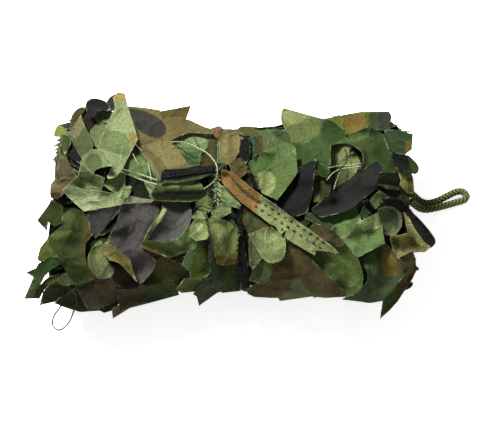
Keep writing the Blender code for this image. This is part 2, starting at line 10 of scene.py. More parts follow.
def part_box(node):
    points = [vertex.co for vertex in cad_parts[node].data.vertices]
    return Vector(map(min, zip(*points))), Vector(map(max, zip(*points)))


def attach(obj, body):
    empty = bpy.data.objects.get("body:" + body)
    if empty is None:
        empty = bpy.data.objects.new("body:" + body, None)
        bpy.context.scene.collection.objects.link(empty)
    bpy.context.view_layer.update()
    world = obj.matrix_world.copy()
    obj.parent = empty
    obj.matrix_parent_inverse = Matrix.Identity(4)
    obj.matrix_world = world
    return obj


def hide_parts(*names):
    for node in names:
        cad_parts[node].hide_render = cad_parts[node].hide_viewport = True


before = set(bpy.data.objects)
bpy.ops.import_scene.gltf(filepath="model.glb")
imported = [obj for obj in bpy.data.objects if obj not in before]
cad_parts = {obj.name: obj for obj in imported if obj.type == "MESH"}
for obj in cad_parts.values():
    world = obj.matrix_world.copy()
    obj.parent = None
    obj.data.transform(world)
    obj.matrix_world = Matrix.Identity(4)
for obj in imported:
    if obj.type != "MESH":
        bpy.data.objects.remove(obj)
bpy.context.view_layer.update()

bl_info = {
    "name": "Camouflage netting bundle",
    "version": (1, 0, 0),
    "blender": (4, 5, 0),
    "location": "3D View > Sidebar > Netting",
    "description": "Dresses the rolled net: its cloth leaves, its tie, its rope and the studio",
    "category": "Object",
}

MM = 0.001

# ---- the roll, as the part's source has it ----------------------------------------------

STATIONS = (  # x, half depth, half height, mm
    (-216, 70, 37), (-180, 82, 43), (-140, 87, 46), (-100, 87, 46.5), (-60, 83, 44.5),
    (-25, 76, 39.5), (5, 73, 36), (35, 76, 39.5), (70, 81, 44), (110, 85, 46),
    (150, 83, 45), (180, 74, 41), (216, 62, 35),
)
SMOOTHED = 7  # how far round a place the sizes are averaged, in 200ths of the length
SQUARENESS = 2.3
SETTLED = 3.5 * MM
WAIST_LIFT, WAIST_X, WAIST_REACH = 14 * MM, 5 * MM, 45 * MM
LUMP = 1.3 * MM
PLY_AT = 46.0  # the half height, mm, that depths into the roll are given at
LEFT_END, RIGHT_END = -145 * MM, 152 * MM
LIP_ANGLE = math.radians(106)
INSET = 4.5  # mm: the wound net lies this far in, under the leaves sewn to it
PLIES, PLY_PITCH = 9, 4.4  # turns of the wound net, and mm from each to the next
ROLL_MIDDLE = (-3.63 * MM, 0.20 * MM)  # of the rolled net, before the part was centred

# The line of sight: the camera looks down at the roll's front. Outlines are drawn on squared
# paper that lies square to it through SIGHT_Z, and are numbered from the paper's top left.
SIGHT_ANGLE = math.radians(60)
SIGHT_Z = 43 * MM
SQUARE = 0.88 * MM
PAPER_MIDDLE = (229, 206)  # the square over the origin
FRAME_MIDDLE = (250, 211)  # the square in the middle of the picture
FRAME_WIDE = 500  # squares across the picture
CAMERA_FAR = 1.5
SENSOR = 36.0

TOWARD = np.array([0.0, -math.cos(SIGHT_ANGLE), math.sin(SIGHT_ANGLE)])
UPWARD = np.array([0.0, math.sin(SIGHT_ANGLE), math.cos(SIGHT_ANGLE)])

_low, _high = (np.array(v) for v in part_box("rolled_net"))
SHIFT = np.array([*((_low + _high)[:2] / 2 - ROLL_MIDDLE), 0.0])


def half_sizes(x):
    """The section's half depth and half height at x, smoothly between stations."""
    table = np.array(STATIONS, float) * MM
    at = np.linspace(table[0, 0], table[-1, 0], 200)
    window = np.hanning(2 * SMOOTHED + 1) / np.hanning(2 * SMOOTHED + 1).sum()
    found = []
    for column in (1, 2):
        straight = np.interp(at, table[:, 0], table[:, column])
        smooth = np.convolve(np.pad(straight, SMOOTHED, mode="edge"), window, mode="valid")
        found.append(np.interp(x, at, smooth))
    return found


def section(x, angle, depth):
    """Points of the roll at x and angle (0 the back, 90 degrees the crown), depth mm in."""
    a, b = half_sizes(x)
    c, s = np.cos(angle), np.sin(angle)
    lump = LUMP * np.sin(31 * x + 2 * angle + 0.6) * np.cos(52 * x - 3 * angle)
    into = depth * b / PLY_AT
    power = 2 / SQUARENESS
    pinch = np.exp(-(((x - WAIST_X) / WAIST_REACH) ** 2))
    middle = b - SETTLED + WAIST_LIFT * pinch
    y = (a + lump - into) * np.sign(c) * np.abs(c) ** power
    z = middle + (b + lump - into) * np.sign(s) * np.abs(s) ** power
    return y, np.maximum(z, depth * MM)


# ---- numbers and shapes -------------------------------------------------------------------


def linear(code):
    """An sRGB hex colour as linear red, green and blue."""
    parts = [v / 255 for v in bytes.fromhex(code)]
    return [c / 12.92 if c < 0.04045 else ((c + 0.055) / 1.055) ** 2.4 for c in parts]


def shade(code, share):
    """A hex colour made darker."""
    return "".join(f"{round(v * share):02x}" for v in bytes.fromhex(code))


def on_paper(points):
    """Squares of the paper as metres across and up."""
    return (np.asarray(points, float) - PAPER_MIDDLE) * SQUARE * np.array([1.0, -1.0])


def read_outline(text):
    """Squares of an outline such as "12,30 18,34~ 20,40", and which points are on a curve."""
    words = text.split()
    points = [[float(v) for v in word.rstrip("~").split(",")] for word in words]
    return np.array(points), [word.endswith("~") for word in words]


def turned(points, angle):
    """Points of a flat shape, turned round its origin."""
    c, s = math.cos(angle), math.sin(angle)
    return points @ np.array([[c, s], [-s, c]])


def between(p1, p2, a, b, u):
    """The place a share u of the way along a curve that leaves p1 along a and meets p2 along b."""
    return (
        (2 * u**3 - 3 * u**2 + 1) * p1 + (u**3 - 2 * u**2 + u) * a
        + (3 * u**2 - 2 * u**3) * p2 + (u**3 - u**2) * b
    )


def along_of(path):
    """How far along a path each of its points is."""
    return np.concatenate([[0], np.cumsum(np.linalg.norm(np.diff(path, axis=0), axis=1))])


def smooth_loop(points, curved, step):
    """A closed outline with evenly spaced points, rounded through its curved ones."""
    count, made = len(points), []
    for k in range(count):
        after = (k + 1) % count
        p0, p1, p2, p3 = points[k - 1], points[k], points[after], points[(k + 2) % count]
        a = (p2 - p0) / 2 if curved[k] else p2 - p1
        b = (p3 - p1) / 2 if curved[after] else p2 - p1
        steps = max(1, math.ceil(np.linalg.norm(p2 - p1) / step))
        made += [between(p1, p2, a, b, u) for u in np.arange(steps) / steps]
    return np.array(made)


def smooth_line(points, step):
    """Evenly spaced points of a smooth open curve through a line's own points."""
    points = np.asarray(points, float)
    padded = np.vstack([2 * points[0] - points[1], points, 2 * points[-1] - points[-2]])
    fine = [
        between(p1, p2, (p2 - p0) / 2, (p3 - p1) / 2, u)
        for p0, p1, p2, p3 in zip(padded, padded[1:], padded[2:], padded[3:])
        for u in np.linspace(0, 1, 24, endpoint=False)
    ]
    fine = np.array([*fine, points[-1]])
    along = along_of(fine)
    at = np.linspace(0, along[-1], max(2, round(along[-1] / step) + 1))
    return np.stack([np.interp(at, along, column) for column in fine.T], axis=1)


def inside_by(points, loop):
    """How far each point is inside a closed outline, less than 0 outside it."""
    a, b = loop, np.roll(loop, -1, axis=0)
    run = b - a
    size = np.maximum((run**2).sum(axis=1), 1e-18)
    to = points[:, None, :] - a[None]
    t = np.clip((to * run).sum(axis=2) / size, 0, 1)
    near = np.linalg.norm(to - t[..., None] * run, axis=2).min(axis=1)
    x, y = points[:, 0:1], points[:, 1:2]
    over = (a[:, 1] > y) != (b[:, 1] > y)
    rise = np.where(run[:, 1] == 0, 1e-18, run[:, 1])
    cross = over & (x < run[:, 0] * (y - a[:, 1]) / rise + a[:, 0])
    return np.where(cross.sum(axis=1) % 2 == 1, near, -near)


def roughness_of(points, scale, seed):
    """Smooth noise, about -1 to 1, at points whose features are scale across."""
    spot = [Vector((*(p / scale), 7.3 * seed + 0.5)[:3]) for p in points]
    return np.array([noise.noise(v) for v in spot])


# ---- how high things lie --------------------------------------------------------------


def raised(level, fall, times):
    """Spreads each height to its neighbours, less fall for a cell's width."""
    for _ in range(times):
        wide = level.copy()
        wide[1:] = np.maximum(wide[1:], level[:-1] - fall)
        wide[:-1] = np.maximum(wide[:-1], level[1:] - fall)
        level = wide.copy()
        level[:, 1:] = np.maximum(level[:, 1:], wide[:, :-1] - fall)
        level[:, :-1] = np.maximum(level[:, :-1], wide[:, 1:] - fall)
    return level


def softened(level, times):
    """A map of heights with its corners rubbed off."""
    for _ in range(times):
        padded = np.pad(level, 1, mode="edge")
        level = (padded[:-2, 1:-1] + 2 * padded[1:-1, 1:-1] + padded[2:, 1:-1]) / 4
        padded = np.pad(level, 1, mode="edge")
        level = (padded[1:-1, :-2] + 2 * padded[1:-1, 1:-1] + padded[1:-1, 2:]) / 4
    return level


class Field:
    """A map of how high the pile stands, which new cloth is laid on."""

    cell = 2 * MM
    margin = 14  # cells round a cloth that can hold it up

    def __init__(self, low, count, around):
        self.low, self.around = np.array(low), around
        self.level = np.full(count, -1.0)

    def cells(self, flat):
        """Places in the map, in cells."""
        return (flat - self.low) / self.cell

    def kept(self, index, axis):
        """Rows or columns that are in the map; columns may go on round it."""
        count = self.level.shape[axis]
        return index % count if axis and self.around else np.clip(index, 0, count - 1)

    def read(self, grid, at, wrapped):
        """Values of a grid at places given in cells."""
        rows, columns = grid.shape[:2]
        i = np.clip(at[:, 0], 0, rows - 1.001)
        j = at[:, 1] % columns if wrapped else np.clip(at[:, 1], 0, columns - 1.001)
        i0, j0 = i.astype(int), j.astype(int)
        j1 = (j0 + 1) % columns
        u, v = i - i0, j - j0
        if grid.ndim == 3:
            u, v = u[:, None], v[:, None]
        low = grid[i0, j0] * (1 - u) + grid[i0 + 1, j0] * u
        return low * (1 - v) + (grid[i0, j1] * (1 - u) + grid[i0 + 1, j1] * u) * v

    def draped(self, flat, slope, soft):
        """How high a cloth lies at those places: it never slopes by more than slope."""
        at = self.cells(flat)
        low = np.floor(at.min(axis=0)).astype(int) - self.margin
        high = np.ceil(at.max(axis=0)).astype(int) + self.margin + 1
        rows, columns = (self.kept(np.arange(low[k], high[k]), k) for k in (0, 1))
        there = self.level[np.ix_(rows, columns)]
        over = softened(raised(there, slope * self.cell, self.margin), soft)
        return self.read(np.maximum(over, there), at - low, False)

    def record(self, flat, height, triangles):
        """Remembers a piece of cloth, all over its triangles."""
        corners = np.concatenate([flat, height[:, None]], axis=1)[triangles]
        shares = [(i / 4, j / 4, 1 - (i + j) / 4) for i in range(5) for j in range(5 - i)]
        spots = np.concatenate([np.tensordot(corners, s, axes=([1], [0])) for s in shares])
        i, j = np.rint(self.cells(spots[:, :2])).astype(int).T
        np.maximum.at(self.level, (self.kept(i, 0), self.kept(j, 1)), spots[:, 2])


class Wrap(Field):
    """The roll's outer surface laid out flat: x along it, and round it from the crown.

    Round is over the front where it is more than 0. A height is off the surface.
    """

    half_round = 210 * MM
    reach = 216 * MM

    def __init__(self):
        rows = round(2 * self.reach / self.cell) + 1
        columns = round(2 * self.half_round / self.cell)
        super().__init__((-self.reach, -self.half_round), (rows, columns), True)
        self.level[:] = 0
        self.x = -self.reach + self.cell * np.arange(rows)
        share = -1 + 2 * np.arange(columns) / columns
        angle = np.radians(np.linspace(-90, 270, 721))
        self.points = np.zeros((rows, columns, 3))
        for i, x in enumerate(self.x):
            y, z = section(x, angle, INSET)
            along = np.concatenate([[0], np.cumsum(np.hypot(np.diff(y), np.diff(z)))])
            along -= np.interp(math.radians(90), angle, along)
            s = np.where(share < 0, -share * along[0], share * along[-1])
            self.points[i] = np.stack(
                [np.full(columns, x), np.interp(s, along, y), np.interp(s, along, z)], axis=1
            )
        d_x = np.gradient(self.points, axis=0)
        d_s = np.roll(self.points, -1, axis=1) - np.roll(self.points, 1, axis=1)
        normal = np.cross(d_s, d_x)
        self.normals = normal / np.linalg.norm(normal, axis=2, keepdims=True)

    def place(self, flat, height):
        """Points in space."""
        at = self.cells(flat)
        normal = self.read(self.normals, at, True)
        normal /= np.linalg.norm(normal, axis=1, keepdims=True)
        point = self.read(self.points, at, True) + normal * height[:, None]
        point[:, 2] = np.maximum(point[:, 2], LEAST_Z)
        return point

    def laid_out(self, points):
        """Where points in space are: x, round and the height off the surface."""
        flat, height = np.zeros((len(points), 2)), np.zeros(len(points))
        rows = np.clip(np.rint(self.cells(points[:, :2])[:, 0]).astype(int), 0, len(self.x) - 1)
        for row in np.unique(rows):
            mine = np.flatnonzero(rows == row)
            away = points[mine][:, None, 1:] - self.points[row][None, :, 1:]
            near = np.linalg.norm(away, axis=2).argmin(axis=1)
            flat[mine, 0] = points[mine, 0]
            flat[mine, 1] = near * self.cell - self.half_round
            normal = self.normals[row, near][:, 1:]
            height[mine] = (away[np.arange(len(mine)), near] * normal).sum(axis=1)
        return flat, height


class View(Field):
    """The paper square to the line of sight. A height is towards the camera."""

    reach = (260 * MM, 170 * MM)
    rim_slope = 1.15  # how a cloth leaves the rim
    spread = 40  # cells past the rim that are filled
    # Behind the crown, cloth hangs down along the line of sight, by a share of the free air
    # beneath it past a gap: none of it so far up the paper, and in full from so far up.
    hang, hang_gap, hang_from, hang_to = 0.8, 3 * MM, 30 * MM, 62 * MM

    def __init__(self):
        rows, columns = (round(2 * r / self.cell) + 1 for r in self.reach)
        super().__init__((-self.reach[0], -self.reach[1]), (rows, columns), False)
        self.hanging = np.zeros(self.level.shape)

    def camera(self):
        """Where the camera stands."""
        middle = on_paper([FRAME_MIDDLE])[0]
        on_sight = np.array([middle[0], 0.0, SIGHT_Z]) + UPWARD * middle[1]
        return on_sight + CAMERA_FAR * TOWARD

    def place(self, flat, height):
        """Points in space, on the rays from the camera through the paper."""
        paper = np.column_stack([flat[:, 0], np.zeros(len(flat)), np.full(len(flat), SIGHT_Z)])
        paper += UPWARD * flat[:, 1:2]
        height = height - self.read(self.hanging, self.cells(flat), False)
        ray = self.camera() - paper
        most = (MOST_Z - paper[:, 2]) / ray[:, 2] * CAMERA_FAR
        return paper + ray * (np.minimum(height, most) / CAMERA_FAR)[:, None]

    def seen(self, points):
        """Where points in space show on the paper, and their heights."""
        height = (points - np.array([0, 0, SIGHT_Z])) @ TOWARD
        share = (height / CAMERA_FAR)[:, None]
        paper = (points - share * self.camera()) / (1 - share)
        up = (paper - np.array([0, 0, SIGHT_Z])) @ UPWARD
        return np.column_stack([paper[:, 0], up]), height

    def settle(self):
        """Finishes the map: cloth can reach past the rim, and nothing is under the ground."""
        self.level = raised(self.level, self.rim_slope * self.cell, self.spread)
        across, up = (
            self.low[k] + self.cell * np.arange(self.level.shape[k]) for k in (0, 1)
        )
        flat = np.stack(np.meshgrid(across, up, indexing="ij"), axis=-1).reshape(-1, 2)
        base = self.place(flat, np.zeros(len(flat)))
        ray = self.camera() - base
        ground = ((LEAST_Z - base[:, 2]) / ray[:, 2] * CAMERA_FAR).reshape(self.level.shape)
        self.level = np.maximum(self.level, ground)
        free = softened(raised(self.level, DROOP * self.cell, self.spread), 6) - self.level
        high = np.clip((up - self.hang_from) / (self.hang_to - self.hang_from), 0, 1)
        free = np.maximum(free - self.hang_gap, 0)
        self.hanging = softened(self.hang * free * high**2 * (3 - 2 * high), 4)


LEAST_Z, MOST_Z = 0.5 * MM, 111.5 * MM
WRAP, VIEW = Wrap(), View()


# ---- making pieces --------------------------------------------------------------------


def deselect_all():
    """Clears the selection that loading the frame leaves."""
    for made in bpy.context.selected_objects:
        made.select_set(False)


def add_mesh(name, verts, faces, finish, sharp=50):
    """A mesh object at the origin, smooth except at sharp corners, riding on the part."""
    deselect_all()
    mesh = bpy.data.meshes.new(name)
    mesh.from_pydata((np.asarray(verts) + SHIFT).tolist(), [], faces)
    mesh.materials.append(FINISHES[finish])
    mesh.shade_smooth()
    mesh.set_sharp_from_angle(angle=math.radians(sharp))
    made = bpy.data.objects.new(name, mesh)
    bpy.context.scene.collection.objects.link(made)
    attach(made, "root")
    return made


def add_weave(made, flat):
    """The piece's own map: where each point is on its flat cloth, the same on both sides."""
    loops = np.zeros(len(made.data.loops), int)
    made.data.loops.foreach_get("vertex_index", loops)
    layer = made.data.uv_layers.new(name="weave")
    layer.data.foreach_set("uv", flat[loops % len(flat)].ravel())


def grid_of(rows, columns, closed=False):
    """Triangles between a grid's points; the last row meets the first where it is closed."""
    triangles = []
    for i in range(rows if closed else rows - 1):
        for j in range(columns - 1):
            a, b = i * columns + j, (i + 1) % rows * columns + j
            triangles += [(a, a + 1, b + 1), (a, b + 1, b)]
    return np.array(triangles)


def across_faces(points, triangles):
    """A vector square to each triangle, twice as long as the triangle is large."""
    corner = points[triangles]
    return np.cross(corner[:, 1] - corner[:, 0], corner[:, 2] - corner[:, 0])


def thickened(points, triangles, thick):
    """A closed slab: the sheet, its other side, and a strip round its rim."""
    face = across_faces(points, triangles)
    normal = np.zeros_like(points)
    for k in range(3):
        np.add.at(normal, triangles[:, k], face)
    normal /= np.maximum(np.linalg.norm(normal, axis=1, keepdims=True), 1e-12)
    count = len(points)
    front = [tuple(map(int, t)) for t in triangles]
    back = [(c + count, b + count, a + count) for a, b, c in front]
    sides = {side: True for a, b, c in front for side in ((a, b), (b, c), (c, a))}
    rim = [(b, a, a + count, b + count) for a, b in sides if (b, a) not in sides]
    return np.concatenate([points, points - normal * thick]), front + back + rim


def triangulated(loop, step):
    """Points and triangles that fill an outline, on a grid of triangles inside it."""
    low, high = loop.min(axis=0), loop.max(axis=0)
    grid = []
    for k, y in enumerate(np.arange(low[1], high[1], step * math.sqrt(3) / 2)):
        x = np.arange(low[0] + step / 2 * (k % 2), high[0], step)
        grid.append(np.column_stack([x, np.full(len(x), y)]))
    grid = np.concatenate(grid)
    grid = grid[inside_by(grid, loop) > 0.55 * step]
    flat = [Vector(p) for p in np.concatenate([loop, grid])]
    found = delaunay_2d_cdt(flat, [], [list(range(len(loop)))], 1, 1e-7)
    points = np.array([tuple(v) for v in found[0]])
    triangles = np.array([(f[0], b, c) for f in found[2] for b, c in zip(f[1:-1], f[2:])])
    a, b, c = (points[triangles[:, k]] for k in range(3))
    wrong = (b[:, 0] - a[:, 0]) * (c[:, 1] - a[:, 1]) < (b[:, 1] - a[:, 1]) * (c[:, 0] - a[:, 0])
    triangles[wrong] = triangles[wrong][:, ::-1]
    return points, triangles


PATCHES = 3
CLOTH_THICK = 0.5 * MM
CLOTH_GAP = 0.6 * MM
CURL_REACH = 12 * MM
CURLED = 1.5  # how much more the edges stand up than the leaves' own values say
LEAN, LEAN_WAY = 0.8, -50  # leaves stand off more at their lower right, as a share of lift
LEAF_STEP, LOOP_STEP = 2.6 * MM, 2.2 * MM
DROOP, STIFF = 0.65, 5  # the steepest that a leaf hangs off another, and how it bridges


def printed(cut, dye, patches):
    """Adds a cut's dyes, its ground's first, and how deep in each patch its points are."""
    count, missing = len(cut["flat"]), PATCHES - len(patches)
    codes = [dye, *(code for code, _ in patches), *[dye] * missing]
    cut["dye"] = dye
    cut["dyes"] = np.array([np.tile([*linear(code), 1.0], (count, 1)) for code in codes])
    cut["depths"] = np.array([*(depth for _, depth in patches), *[np.full(count, -1.0)] * missing])
    return cut


def paint(made, cut):
    """Stores what the cloth's finish reads, the same on all of the sheet's sides."""
    sides = len(made.data.vertices) // len(cut["flat"])

    def store(name, data):
        data = np.concatenate([np.asarray(data, np.float32)] * sides)
        kind, key = ("FLOAT", "value") if data.ndim == 1 else ("FLOAT_COLOR", "color")
        layer = made.data.attributes.new(name, kind, "POINT")
        layer.data.foreach_set(key, data.ravel())

    store("edge", cut["edge"] / MM)
    store("dye", cut["dyes"][0])
    for k in range(PATCHES):
        store(f"patch_{k + 1}", np.clip(cut["depths"][k] / MM, -20, 20))
        store(f"dye_{k + 1}", cut["dyes"][k + 1])
    if not made.data.uv_layers:
        add_weave(made, cut["flat"])


def lay(field, name, loop, dye, patches, shape, step=LEAF_STEP, slope=DROOP):
    """One cut piece of cloth laid over what is there, with all that finishing it needs."""
    flat, triangles = triangulated(loop, step)
    edge = np.maximum(inside_by(flat, loop), 0)
    height = field.draped(flat, slope, STIFF) + CLOTH_GAP + shape(flat, edge)
    points = field.place(flat, height)
    points[:, 2] = np.maximum(points[:, 2], LEAST_Z)
    field.record(flat, height, triangles)
    area = float(0.5 * np.linalg.norm(across_faces(points, triangles), axis=1).sum())
    cut = dict(name=name, points=points, triangles=triangles, flat=flat, edge=edge, area=area)
    return printed(cut, dye, [(code, depth(flat)) for code, depth in patches])


def finish_sheet(cut, kind, node=None, turn=0.0):
    """Turns a laid cut into a piece: a slab of cloth with its dyes."""
    verts, faces = thickened(cut["points"], cut["triangles"], CLOTH_THICK)
    made = add_mesh(cut["name"], verts, faces, kind)
    own = turned(cut["flat"], turn)
    paint(made, {**cut, "flat": own})
    if node:
        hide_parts(node)


def group_sheet(name, cuts):
    """Several leaves as one piece, each with its own dyes."""
    starts = np.cumsum([0] + [len(cut["points"]) for cut in cuts])
    whole = {"name": name, "area": sum(cut["area"] for cut in cuts)}
    whole["triangles"] = np.concatenate([c["triangles"] + n for c, n in zip(cuts, starts)])
    for key in ("points", "flat", "edge"):
        whole[key] = np.concatenate([cut[key] for cut in cuts])
    for key in ("dyes", "depths"):
        whole[key] = np.concatenate([cut[key] for cut in cuts], axis=1)
    finish_sheet(whole, "green")


# ---- finishes -------------------------------------------------------------------------


def add_node(tree, kind, links=(), stops=(), **settings):
    """A node with its settings, what is linked to its inputs, and its ramp's colours.

    A link is (input, node) or (input, node, output), and a colour is (where, hex value).
    """
    made = tree.nodes.new("ShaderNode" + kind)
    for key, value in settings.items():
        if key.startswith("in_"):
            made.inputs[int(key[3:])].default_value = value
        else:
            setattr(made, key, value)
    for target, node, *output in links:
        tree.links.new(node.outputs[output[0] if output else 0], made.inputs[target])
    if stops:
        made.color_ramp.elements.remove(made.color_ramp.elements[1])
    for k, (at, code) in enumerate(stops):
        stop = made.color_ramp.elements.new(at) if k else made.color_ramp.elements[0]
        stop.color = (*linear(code), 1)
    return made


def new_finish(name, rough, sheen=0.0):
    """A material with its shader, roughness and sheen."""
    made = bpy.data.materials.new(name)
    made.use_nodes = True
    shader = made.node_tree.nodes["Principled BSDF"]
    shader.inputs["Roughness"].default_value = rough
    shader.inputs["Sheen Weight"].default_value = sheen
    shader.inputs["Specular IOR Level"].default_value = 0.04
    return made, made.node_tree, shader


def link_up(tree, shader, colour, height, strength, deep):
    """Gives the shader its colour and its relief, each a node and its output."""
    bump = add_node(tree, "Bump", [("Height", *height)], in_0=strength, in_1=deep)
    tree.links.new(colour[0].outputs[colour[1]], shader.inputs["Base Color"])
    tree.links.new(bump.outputs[0], shader.inputs["Normal"])


DYE_SHARE = 0.42  # of the light that the dyes' hex values stand for, in a bright studio
WEAVE = 1.5 * MM  # real threads are about 0.5 mm apart, drawn coarser so that they show


def wave_scale(pitch):
    """The scale at which a wave texture on metres repeats each pitch."""
    return 2 * math.pi / (20 * pitch)


def cloth_finish(name, rough, mottle):
    """Woven polyester, printed in woodland patches, a few of which are painted shade and painted
    highlights: matt, with a dry grain of threads, and pale cut edges that are partly a painted
    highlight.
    """
    made, tree, shader = new_finish(name, rough, 0.02)
    place = add_node(tree, "UVMap", uv_map="weave")
    body = add_node(tree, "TexCoord")
    ragged, uneven, fibre, creased, bent = (  # scale, and how finely it is broken up
        add_node(tree, "TexNoise", [("Vector", body, "Object")], in_2=scale, in_3=detail)
        for scale, detail in ((170, 3), (45, 4), (620, 2), (110, 3), (40, 1))
    )
    colour = add_node(tree, "Attribute", attribute_name="dye")
    for k in range(PATCHES):
        depth, dye = (
            add_node(tree, "Attribute", attribute_name=f"{key}_{k + 1}") for key in ("patch", "dye")
        )
        links = [(0, ragged, "Fac"), (2, depth, "Fac")]
        torn = add_node(tree, "Math", links, operation="MULTIPLY_ADD", in_1=1.4)
        share = add_node(tree, "MapRange", [("Value", torn)], in_1=0.2, in_2=1.3)
        links = [("Factor", share), (6, colour, 2 if k else "Color"), (7, dye, "Color")]
        colour = add_node(tree, "Mix", links, data_type="RGBA")
    threads = [
        add_node(
            tree, "TexWave", [("Vector", place)], bands_direction=way,
            in_1=wave_scale(WEAVE), in_2=0.6, in_3=1.0,
        )
        for way in "XY"
    ]
    links = [(k, thread, "Fac") for k, thread in enumerate(threads)]
    weave = add_node(tree, "Math", links, operation="MULTIPLY")
    least, most = (DYE_SHARE * (1 + way * mottle) for way in (-1, 1))
    both, *tones = (  # what makes the dye lighter and darker: from what, to what
        add_node(tree, "MapRange", [("Value", *node)], in_1=a, in_2=b, in_3=c, in_4=d)
        for node, a, b, c, d in (
            ((uneven, "Fac"), 0.25, 0.75, least, most),
            ((fibre, "Fac"), 0.3, 0.7, 0.68, 1.32),
            ((weave,), 0.0, 1.0, 0.84, 1.22),
        )
    )
    for tone in tones:
        both = add_node(tree, "Math", [(0, both), (1, tone)], operation="MULTIPLY")
    shaded = add_node(tree, "VectorMath", [(0, colour, 2), (3, both)], operation="SCALE")
    # Pale cut edges: partly the cloth's unprinted threads where it is worn, partly a painted
    # highlight where a cut edge catches the light.
    edge = add_node(tree, "Attribute", attribute_name="edge")
    worn_and_lit_edge = add_node(tree, "MapRange", [("Value", ragged, "Fac")], in_1=0.5, in_2=0.7, in_4=0.3)
    near = add_node(
        tree, "MapRange", [("Value", edge, "Fac"), (3, worn_and_lit_edge)], in_1=0.1, in_2=0.8, in_4=0.0
    )
    pale = add_node(
        tree, "Mix", [("Factor", near), (6, shaded)], data_type="RGBA", in_7=(*linear("b9c196"), 1)
    )
    strayed = add_node(tree, "VectorMath", [(0, bent, "Color")], operation="SCALE", in_3=0.02)
    spot = add_node(tree, "VectorMath", [(0, body, "Object"), (1, strayed)], operation="ADD")
    crease = add_node(tree, "TexVoronoi", [("Vector", spot)], feature="DISTANCE_TO_EDGE", in_2=48)
    relief = add_node(
        tree, "MapRange", [("Value", crease)], in_1=0.0, in_2=0.13, in_3=3.2, in_4=0.0
    )
    for node, times in (((creased, "Fac"), 1.2), ((weave,), 1.3)):
        relief = add_node(
            tree, "Math", [(0, *node), (2, relief)], operation="MULTIPLY_ADD", in_1=times
        )
    link_up(tree, shader, (pale, 2), (relief,), 0.5, 0.6 * MM)
    return made


def net_finish():
    """Knotted nylon net with its backing, wound dark on itself: dull, with a coarse mesh."""
    made, tree, shader = new_finish("Knotted nylon net, dark olive", 0.9)
    on_cloth = [("Vector", add_node(tree, "UVMap", uv_map="weave"))]
    mesh = add_node(tree, "TexVoronoi", on_cloth, feature="DISTANCE_TO_EDGE", in_2=110)
    cord = add_node(tree, "MapRange", [("Value", mesh)], in_1=0.0, in_2=0.16)
    patch = add_node(tree, "TexNoise", on_cloth, in_2=26)
    ground = add_node(
        tree, "ValToRGB", [("Fac", patch, "Fac")], ((0, "1a2014"), (0.5, "2b331d"), (0.6, "2c2518"))
    )
    ground.color_ramp.interpolation = "CONSTANT"
    mixed = add_node(
        tree, "Mix", [("Factor", cord), (7, ground)], data_type="RGBA", in_6=(*linear("454c2c"), 1)
    )
    link_up(tree, shader, (mixed, 2), (cord,), 0.6, 0.8 * MM)
    return made


ROPE_RADIUS = 3.3 * MM
BRAID, BRAID_SLANT = 3.6 * MM, 0.8  # a strand to the next, and how far they run along


def rope_finish():
    """Braided polypropylene rope: dark olive strands that run in a zigzag, darker in the grooves
    between them and lighter on their crowns: painted shade and painted highlight.
    """
    made, tree, shader = new_finish("Braided polypropylene rope, olive", 0.7, 0.1)
    place = add_node(tree, "UVMap", uv_map="weave")
    apart = add_node(tree, "SeparateXYZ", [("Vector", place)])
    quarter = math.pi * ROPE_RADIUS / 2
    zigzag = add_node(tree, "Math", [(0, apart, "Y")], operation="PINGPONG", in_1=quarter)
    braid = add_node(
        tree, "Math", [(0, zigzag), (2, apart, "X")], operation="MULTIPLY_ADD", in_1=BRAID_SLANT
    )
    for step in ("MULTIPLY", "SINE", "ABSOLUTE"):
        braid = add_node(tree, "Math", [(0, braid)], operation=step, in_1=math.pi / BRAID)
    # The ramp runs from painted shade in the grooves, through the rope's olive, to a painted
    # highlight on the strands' crowns.
    stops = ((0, "0b0e07"), (0.4, "2b3318"), (0.95, "5d663a"))
    ramp = add_node(tree, "ValToRGB", [("Fac", braid)], stops)
    link_up(tree, shader, (ramp, 0), (braid,), 0.7, 0.8 * MM)
    return made


def thread_finish(name, dark, light):
    """Twisted nylon thread: two plies that show as slanting light and dark."""
    made, tree, shader = new_finish(name, 0.6, 0.1)
    place = add_node(tree, "UVMap", uv_map="weave")
    ply = add_node(
        tree, "TexWave", [("Vector", place)], bands_direction="DIAGONAL",
        in_1=wave_scale(1.6 * MM), in_2=0.4,
    )
    ramp = add_node(tree, "ValToRGB", [("Fac", ply, "Fac")], ((0, dark), (1, light)))
    link_up(tree, shader, (ramp, 0), (ply, "Fac"), 0.5, 0.2 * MM)
    return made


SLOT_OF = {kind: f"leaf cloth, {kind}" for kind in ("green", "pale", "brown", "black")}
SLOT_OF["tie"] = "tie strip"
FINISHES = {}


def make_finishes():
    """All the finishes, made once."""
    for kind, name, rough, mottle in (
        ("green", "Woven polyester cloth, leaf green", 0.82, 0.1),
        ("pale", "Woven polyester cloth, pale green", 0.80, 0.08),
        ("brown", "Woven polyester cloth, earth brown", 0.84, 0.1),
        ("black", "Woven polyester cloth, black", 0.78, 0.07),
        ("tie", "Torn selvage strip, printed polyester", 0.75, 0.14),
    ):
        FINISHES[kind] = cloth_finish(name, rough, mottle)
    FINISHES["net"] = net_finish()
    FINISHES["rope"] = rope_finish()
    FINISHES["string"] = thread_finish("Twisted nylon string, black", "060604", "0e0f0a")
    FINISHES["frayed"] = thread_finish("Frayed polyester thread, black", "0b0c09", "12130e")
    FINISHES["pale thread"] = thread_finish("Twisted nylon thread, pale", "6b7154", "a6ab88")


# The brightest byte of a black dye is less, and a pale dye's green is more.
BLACK_BELOW, PALE_ABOVE = 84, 138


def tone_of(code):
    """Which of the four cloths a dye belongs to."""
    red, green, blue = bytes.fromhex(code)
    if max(red, green, blue) < BLACK_BELOW:
        return "black"
    if red > green - 2:
        return "brown"
    return "pale" if green > PALE_ABOVE else "green"


# ---- the leaves on the front, which show -------------------------------------------------

Leaf = namedtuple(
    "Leaf", "name dye lift curl outline patches folds soft", defaults=((), (), 1.0)
)

